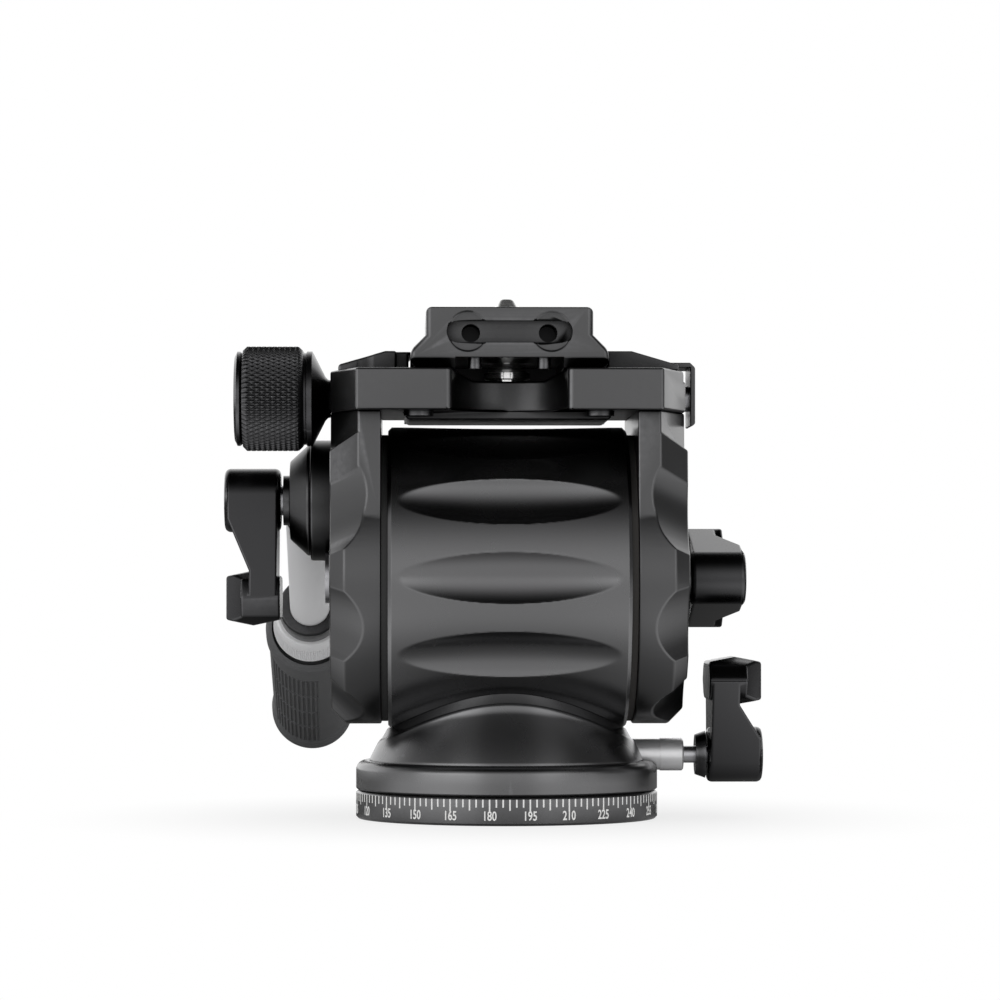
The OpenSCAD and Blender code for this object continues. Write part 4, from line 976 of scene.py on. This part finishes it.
class HEAD_OT_grip(bpy.types.Operator):
    """Build the rubber grip with its ribs, ring grooves and smooth flanks"""

    bl_idname = "head.grip"
    bl_label = "Rubber grip"

    STEPS, ROW_STEP = 640, 0.35 * MM
    BORE, CUP = mm(6.47, 3)
    BODY_START, BODY_END = mm(1.2, 0.6)
    # Waist: its depth, its distance from both ends, and the length of its ease
    WAIST, WAIST_START, WAIST_END, EASE = mm(0.6, 7, 6, 3)
    # Ribbed stretch: its distance from both ends, and how it fades in and out
    RIBBED_START, RIBBED_END, FADE_IN, FADE_OUT = mm(16, 8, 0.5, 1)
    RIB_DEPTH, RIB_SLOPE, RIB_FLAT = 0.26 * MM, 2.4, 0.8
    GROOVES, GROOVE_START, GROOVE_HALF, GROOVE_DEPTH = 4, 0.8 * MM, 0.8 * MM, 1.0 * MM
    # Border of the smooth flanks, as a cosine, and its softness
    FLANK, FLANK_BLEND = -0.30, 0.12

    def execute(self, context):
        sizes = context.scene.head_sizes
        start, end, outer = along_handle("handle_grip")
        ribbed_from, ribbed_to = start + self.RIBBED_START, end - self.RIBBED_END
        pitch = (ribbed_to - ribbed_from) / self.GROOVES
        rings = [ribbed_from + self.GROOVE_START + k * pitch for k in range(self.GROOVES)]

        def relief(along, angles, ring_r):
            if ring_r < outer - 1.1 * MM:
                return 0
            flank = np.cos(2 * (angles - sizes.grip_turn))
            panel = np.clip((flank - self.FLANK) / self.FLANK_BLEND, 0, 1)
            inside = np.clip((along - ribbed_from) / self.FADE_IN, 0, 1) * np.clip(
                (ribbed_to - along) / self.FADE_OUT, 0, 1)
            wave = triangle(angles / (2 * math.pi) * sizes.grip_ribs)
            ribs = self.RIB_DEPTH * np.clip(self.RIB_SLOPE * wave - self.RIB_FLAT, 0, 1)
            groove = max(math.exp(-((along - u) / self.GROOVE_HALF) ** 4) for u in rings)
            return -inside * (1 - panel) * np.maximum(ribs, self.GROOVE_DEPTH * groove)

        body = []
        for u in span(start + self.BODY_START, end - self.BODY_END, self.ROW_STEP):
            near = np.clip((u - start - self.WAIST_START) / self.EASE, 0, 1)
            far = np.clip((end - self.WAIST_END - u) / self.EASE, 0, 1)
            ease = near * near * (3 - 2 * near) * far * far * (3 - 2 * far)
            body.append((u, outer - self.WAIST * ease))
        cup = start + self.CUP
        profile = ([(cup, self.BORE), (cup, outer - 1.7 * MM), (start, outer - 1.4 * MM),
                    (start + 0.3 * MM, outer - 0.6 * MM)]
                   + body + [(end - 0.15 * MM, outer - 0.25 * MM), (end, outer - 0.6 * MM),
                             (end, self.BORE)])
        mesh = turned("rubber_grip", profile, self.STEPS, handle_place(), relief)
        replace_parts(shown("rubber_grip", mesh, "handle_grip", "rubber"), "handle_grip")
        return {"FINISHED"}


class HEAD_OT_camera_screw(bpy.types.Operator):
    """Cut the thread of the camera screw"""

    bl_idname = "head.camera_screw"
    bl_label = "Camera screw"

    STEPS, ROW_STEP = 96, 0.08 * MM
    RADIUS, PITCH, DEPTH = mm(3.175, 1.27, 0.5)
    # Below the tip: start of the thread, its last groove and its last row
    THREAD_START, LAST_GROOVE, LAST_ROW = mm(11.85, 2.3, 2.4)
    HOLE, NECK_R, NECK_Z = mm(0.05, 2.5, 3.75)
    # Head in mm: height over its foot, with radius or drop below the rim's radius
    FOOT = ((0, 3.6), (0.1, 3.7), (0.5, 3.7), (0.55, 4.2))
    RIM = ((0.7, 0), (1.9, 0), (2, 0.1))
    DOME_Z, DOME_H, DOME_IN, DOME_R = mm(2.1, 1.6, 2.9, 0.95)

    def execute(self, context):
        low, high = (corner.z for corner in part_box("camera_screw"))
        neck_top = high - self.THREAD_START

        def thread(along, angles, ring_r):
            if ring_r < self.RADIUS or not neck_top <= along <= high - self.LAST_GROOVE:
                return 0
            wave = triangle(along / self.PITCH - angles / (2 * math.pi))
            return -self.DEPTH * np.clip(1.3 * wave - 0.2, 0, 1)

        head = half_size("camera_screw").x
        dome = [(low + self.DOME_Z + self.DOME_H * k / 8,
                 self.DOME_IN + self.DOME_R * math.sqrt(1 - (k / 8) ** 2)) for k in range(9)]
        profile = ([(low, self.HOLE)] + [(low + z * MM, r * MM) for z, r in self.FOOT]
                   + [(low + z * MM, head - drop * MM) for z, drop in self.RIM] + dome
                   + [(low + self.NECK_Z, self.NECK_R), (neck_top, self.NECK_R)]
                   + [(z, self.RADIUS)
                      for z in span(neck_top, high - self.LAST_ROW, self.ROW_STEP)]
                   + [(high - 0.3 * MM, 1.85 * MM), (high, 1.4 * MM), (high, self.HOLE)])
        place = axis_frame(Vector((0, 0, 0)), UPWARD, ACROSS)
        mesh = turned("camera_screw_threaded", profile, self.STEPS, place, thread)
        piece = shown("camera_screw_threaded", mesh, "camera_screw", "screw")
        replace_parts(piece, "camera_screw")
        return {"FINISHED"}


class HEAD_OT_kept_nodes(bpy.types.Operator):
    """Give the CAD pieces that stay their finishes"""

    bl_idname = "head.kept_nodes"
    bl_label = "Kept CAD pieces"

    # Finishes that aren't named after their material slot
    FINISH_OF_SLOT = {"black_anodised": "anodised", "black_lever": "lever", "chrome": "screw",
                      "friction": "lining", "black_steel": "lever"}
    SPECIAL = {"pan_lock_sleeve": "sleeve", "base_ring": "turned", "pan_seal": "seal",
               "shaft_seal": "seal", "knob_cap": "lever", "pan_lock_collar": "lever"}

    def execute(self, context):
        for name, node in NODES.items():
            slot = SLOT_OF[name]
            finish = self.SPECIAL.get(name) or self.FINISH_OF_SLOT.get(slot, slot)
            for holder in node.material_slots:
                holder.material = FINISHES[finish]
        return {"FINISHED"}


class HEAD_OT_stage(bpy.types.Operator):
    """Set up the floor, the lamps, the sky and the camera"""

    bl_idname = "head.stage"
    bl_label = "Studio stage"

    FLOOR_HALF, FLOOR_GAP = 4, 0.05 * MM
    PAPER = (0.92, 0.92, 0.92)
    SKY_LIGHT = 0.8
    # Painted glow of the floor ahead, as the finishes mirror it
    MIRRORED_FLOOR = 0.8
    # Lamps: place across, and power
    LAMPS = {"left_box": (-0.82, 0.9), "right_box": (0.82, 0.5)}
    LAMP_Y, LAMP_Z, LAMP_SIZE, AIM = -0.57, 0.24, (0.6, 0.45), (0, 0, 0.05)
    SENSOR, VIEW_END = 36, 20

    def floor(self):
        """White paper, which glows evenly for the camera, and in mirroring finishes glows by place as painted
        light and painted shade.
        """
        solid = bmesh.new()
        bmesh.ops.create_grid(solid, x_segments=8, y_segments=8, size=self.FLOOR_HALF)
        mesh = mesh_of("floor", solid)
        floor = in_scene("floor", mesh)
        floor.location.z = CAD_BOX[0].z - self.FLOOR_GAP
        paper = Finish("floor_paper_painted_glow", self.PAPER, roughness=0.8, specular=0.0)
        mesh.materials.append(paper.material)
        tree = paper.tree
        calc, step = partial(math_node, tree), partial(ramp, tree)
        glow = tree.nodes.new("ShaderNodeEmission")
        path = tree.nodes.new("ShaderNodeLightPath").outputs
        mirrored = path["Is Glossy Ray"]
        place = tree.nodes.new("ShaderNodeNewGeometry").outputs["Position"]
        reach = vector_node(tree, "LENGTH", place)["Value"]
        x, y, _ = split_node(tree, vector_node(tree, "NORMALIZE", place)["Vector"])
        # In mirrors the floor shows painted light at the sides, and painted shade behind and under the head
        sideways = step(calc("ABSOLUTE", x, 0), (0.05, 0.85), (0.0, 1.0))
        painted_side_gain = calc("SUBTRACT", step(reach, (0.12, 0.3), (1.5, 1.0)), self.MIRRORED_FLOOR)
        lit = calc("ADD", calc("MULTIPLY", painted_side_gain, sideways), self.MIRRORED_FLOOR)
        lit = calc("MULTIPLY", lit, step(y, (-0.25, 0.35), (1.0, 0.12)),
                   step(reach, (0.03, 0.1), (0.2, 1.0)))
        painted_glow_level = calc("MULTIPLY", mirrored, calc("SUBTRACT", lit, 1))
        tree.links.new(calc("ADD", painted_glow_level, 1), glow.inputs["Strength"])
        away = calc("MULTIPLY", path["Is Camera Ray"], step(reach, (0.035, 0.1), (0.75, 1.0)))
        surface = mix_shaders(tree, calc("MAXIMUM", away, mirrored),
                              paper.shader.outputs[0], glow.outputs[0])
        tree.links.new(surface, tree.nodes["Material Output"].inputs[0])

    def sky(self):
        """Even light, white for the camera and a bright room in mirroring finishes."""
        world = bpy.data.worlds.new("studio_sky")
        bpy.context.scene.world = world
        world.use_nodes = True
        tree = world.node_tree
        calc, step = partial(math_node, tree), partial(ramp, tree)
        even = tree.nodes["Background"]
        room, white = (tree.nodes.new("ShaderNodeBackground") for _ in range(2))
        for node, strength in ((even, self.SKY_LIGHT), (room, 1.0), (white, 1.0)):
            node.inputs["Color"].default_value = (1, 1, 1, 1)
            node.inputs["Strength"].default_value = strength
        x, y, z = split_node(tree, tree.nodes.new("ShaderNodeTexCoord").outputs["Generated"])
        across = calc("ABSOLUTE", x, 0)
        # Front wall, left wall and two boxes, which fade upwards, and a back wall
        front = calc("MULTIPLY", step(y, (-0.9, -0.3), (1.0, 0.42)),
                     step(x, (0.1, 0.9), (1.0, 0.4)))
        left = step(x, (-1.0, -0.5), (0.35, 0.0))
        boxes = calc("MULTIPLY", step(across, (0.3, 0.42), (0.0, 1.0)),
                     step(across, (0.58, 0.7), (1.0, 0.0)), step(y, (-0.4, -0.1), (1.0, 0.0)))
        near = calc("MULTIPLY", calc("ADD", front, left, boxes),
                    step(z, (0.15, 0.98), (1.0, 0.0)))
        back = calc("MULTIPLY", step(y, (0.2, 0.6), (0.0, 1.0)), step(z, (0.6, 0.9), (1.0, 0.0)))
        tree.links.new(calc("ADD", near, back), room.inputs["Strength"])
        path = tree.nodes.new("ShaderNodeLightPath").outputs
        shiny = calc("MAXIMUM", path["Is Glossy Ray"], path["Is Transmission Ray"])
        lit = mix_shaders(tree, shiny, even.outputs[0], room.outputs[0])
        seen = mix_shaders(tree, path["Is Camera Ray"], lit, white.outputs[0])
        tree.links.new(seen, tree.nodes["World Output"].inputs[0])

    def lamps(self):
        for name, (x, power) in self.LAMPS.items():
            lamp = bpy.data.lights.new(name, "AREA")
            lamp.shape = "RECTANGLE"
            lamp.size, lamp.size_y = self.LAMP_SIZE
            lamp.energy = power
            holder = in_scene(name, lamp)
            holder.location = (x, self.LAMP_Y, self.LAMP_Z)
            way = Vector(self.AIM) - holder.location
            holder.rotation_euler = way.to_track_quat("-Z", "Y").to_euler()

    def camera(self):
        studio = bpy.context.scene.head_studio
        camera = bpy.data.cameras.new("camera")
        camera.sensor_width = self.SENSOR
        camera.lens = studio.lens
        camera.shift_x = studio.shift_x
        camera.shift_y = studio.shift_y
        camera.clip_end = self.VIEW_END
        holder = in_scene("camera", camera)
        holder.location = (studio.distance * math.sin(studio.swing),
                           -studio.distance * math.cos(studio.swing), studio.height)
        holder.rotation_euler = (math.pi / 2, 0, studio.swing)
        bpy.context.scene.camera = holder

    def execute(self, context):
        self.floor()
        self.sky()
        self.lamps()
        self.camera()
        bpy.context.scene.view_settings.view_transform = "Standard"
        return {"FINISHED"}


class HEAD_PT_panel(bpy.types.Panel):
    """Steps that dress the video head"""

    bl_idname = "HEAD_PT_panel"
    bl_label = "Video head"
    bl_space_type = "VIEW_3D"
    bl_region_type = "UI"
    bl_category = "Video head"

    def draw(self, context):
        for step in STEPS:
            self.layout.operator(step.bl_idname)
        scene = context.scene
        for group in (scene.head_sizes, scene.head_colours, scene.head_studio):
            for label in group.__annotations__:
                self.layout.prop(group, label)


STEPS = (HEAD_OT_finishes, HEAD_OT_machined, HEAD_OT_drum, HEAD_OT_pan_housing,
         HEAD_OT_dial, HEAD_OT_knob, HEAD_OT_twist_ring, HEAD_OT_grip,
         HEAD_OT_camera_screw, HEAD_OT_kept_nodes, HEAD_OT_stage)
CLASSES = (HeadSizes, HeadColours, StudioSettings) + STEPS + (HEAD_PT_panel,)


def register():
    for cls in CLASSES:
        bpy.utils.register_class(cls)
    bpy.types.Scene.head_sizes = PointerProperty(type=HeadSizes)
    bpy.types.Scene.head_colours = PointerProperty(type=HeadColours)
    bpy.types.Scene.head_studio = PointerProperty(type=StudioSettings)


def unregister():
    del bpy.types.Scene.head_studio
    del bpy.types.Scene.head_colours
    del bpy.types.Scene.head_sizes
    for cls in reversed(CLASSES):
        bpy.utils.unregister_class(cls)


def main():
    register()
    for step in STEPS:
        area, name = step.bl_idname.split(".")
        getattr(getattr(bpy.ops, area), name)()


if __name__ == "__main__":
    main()
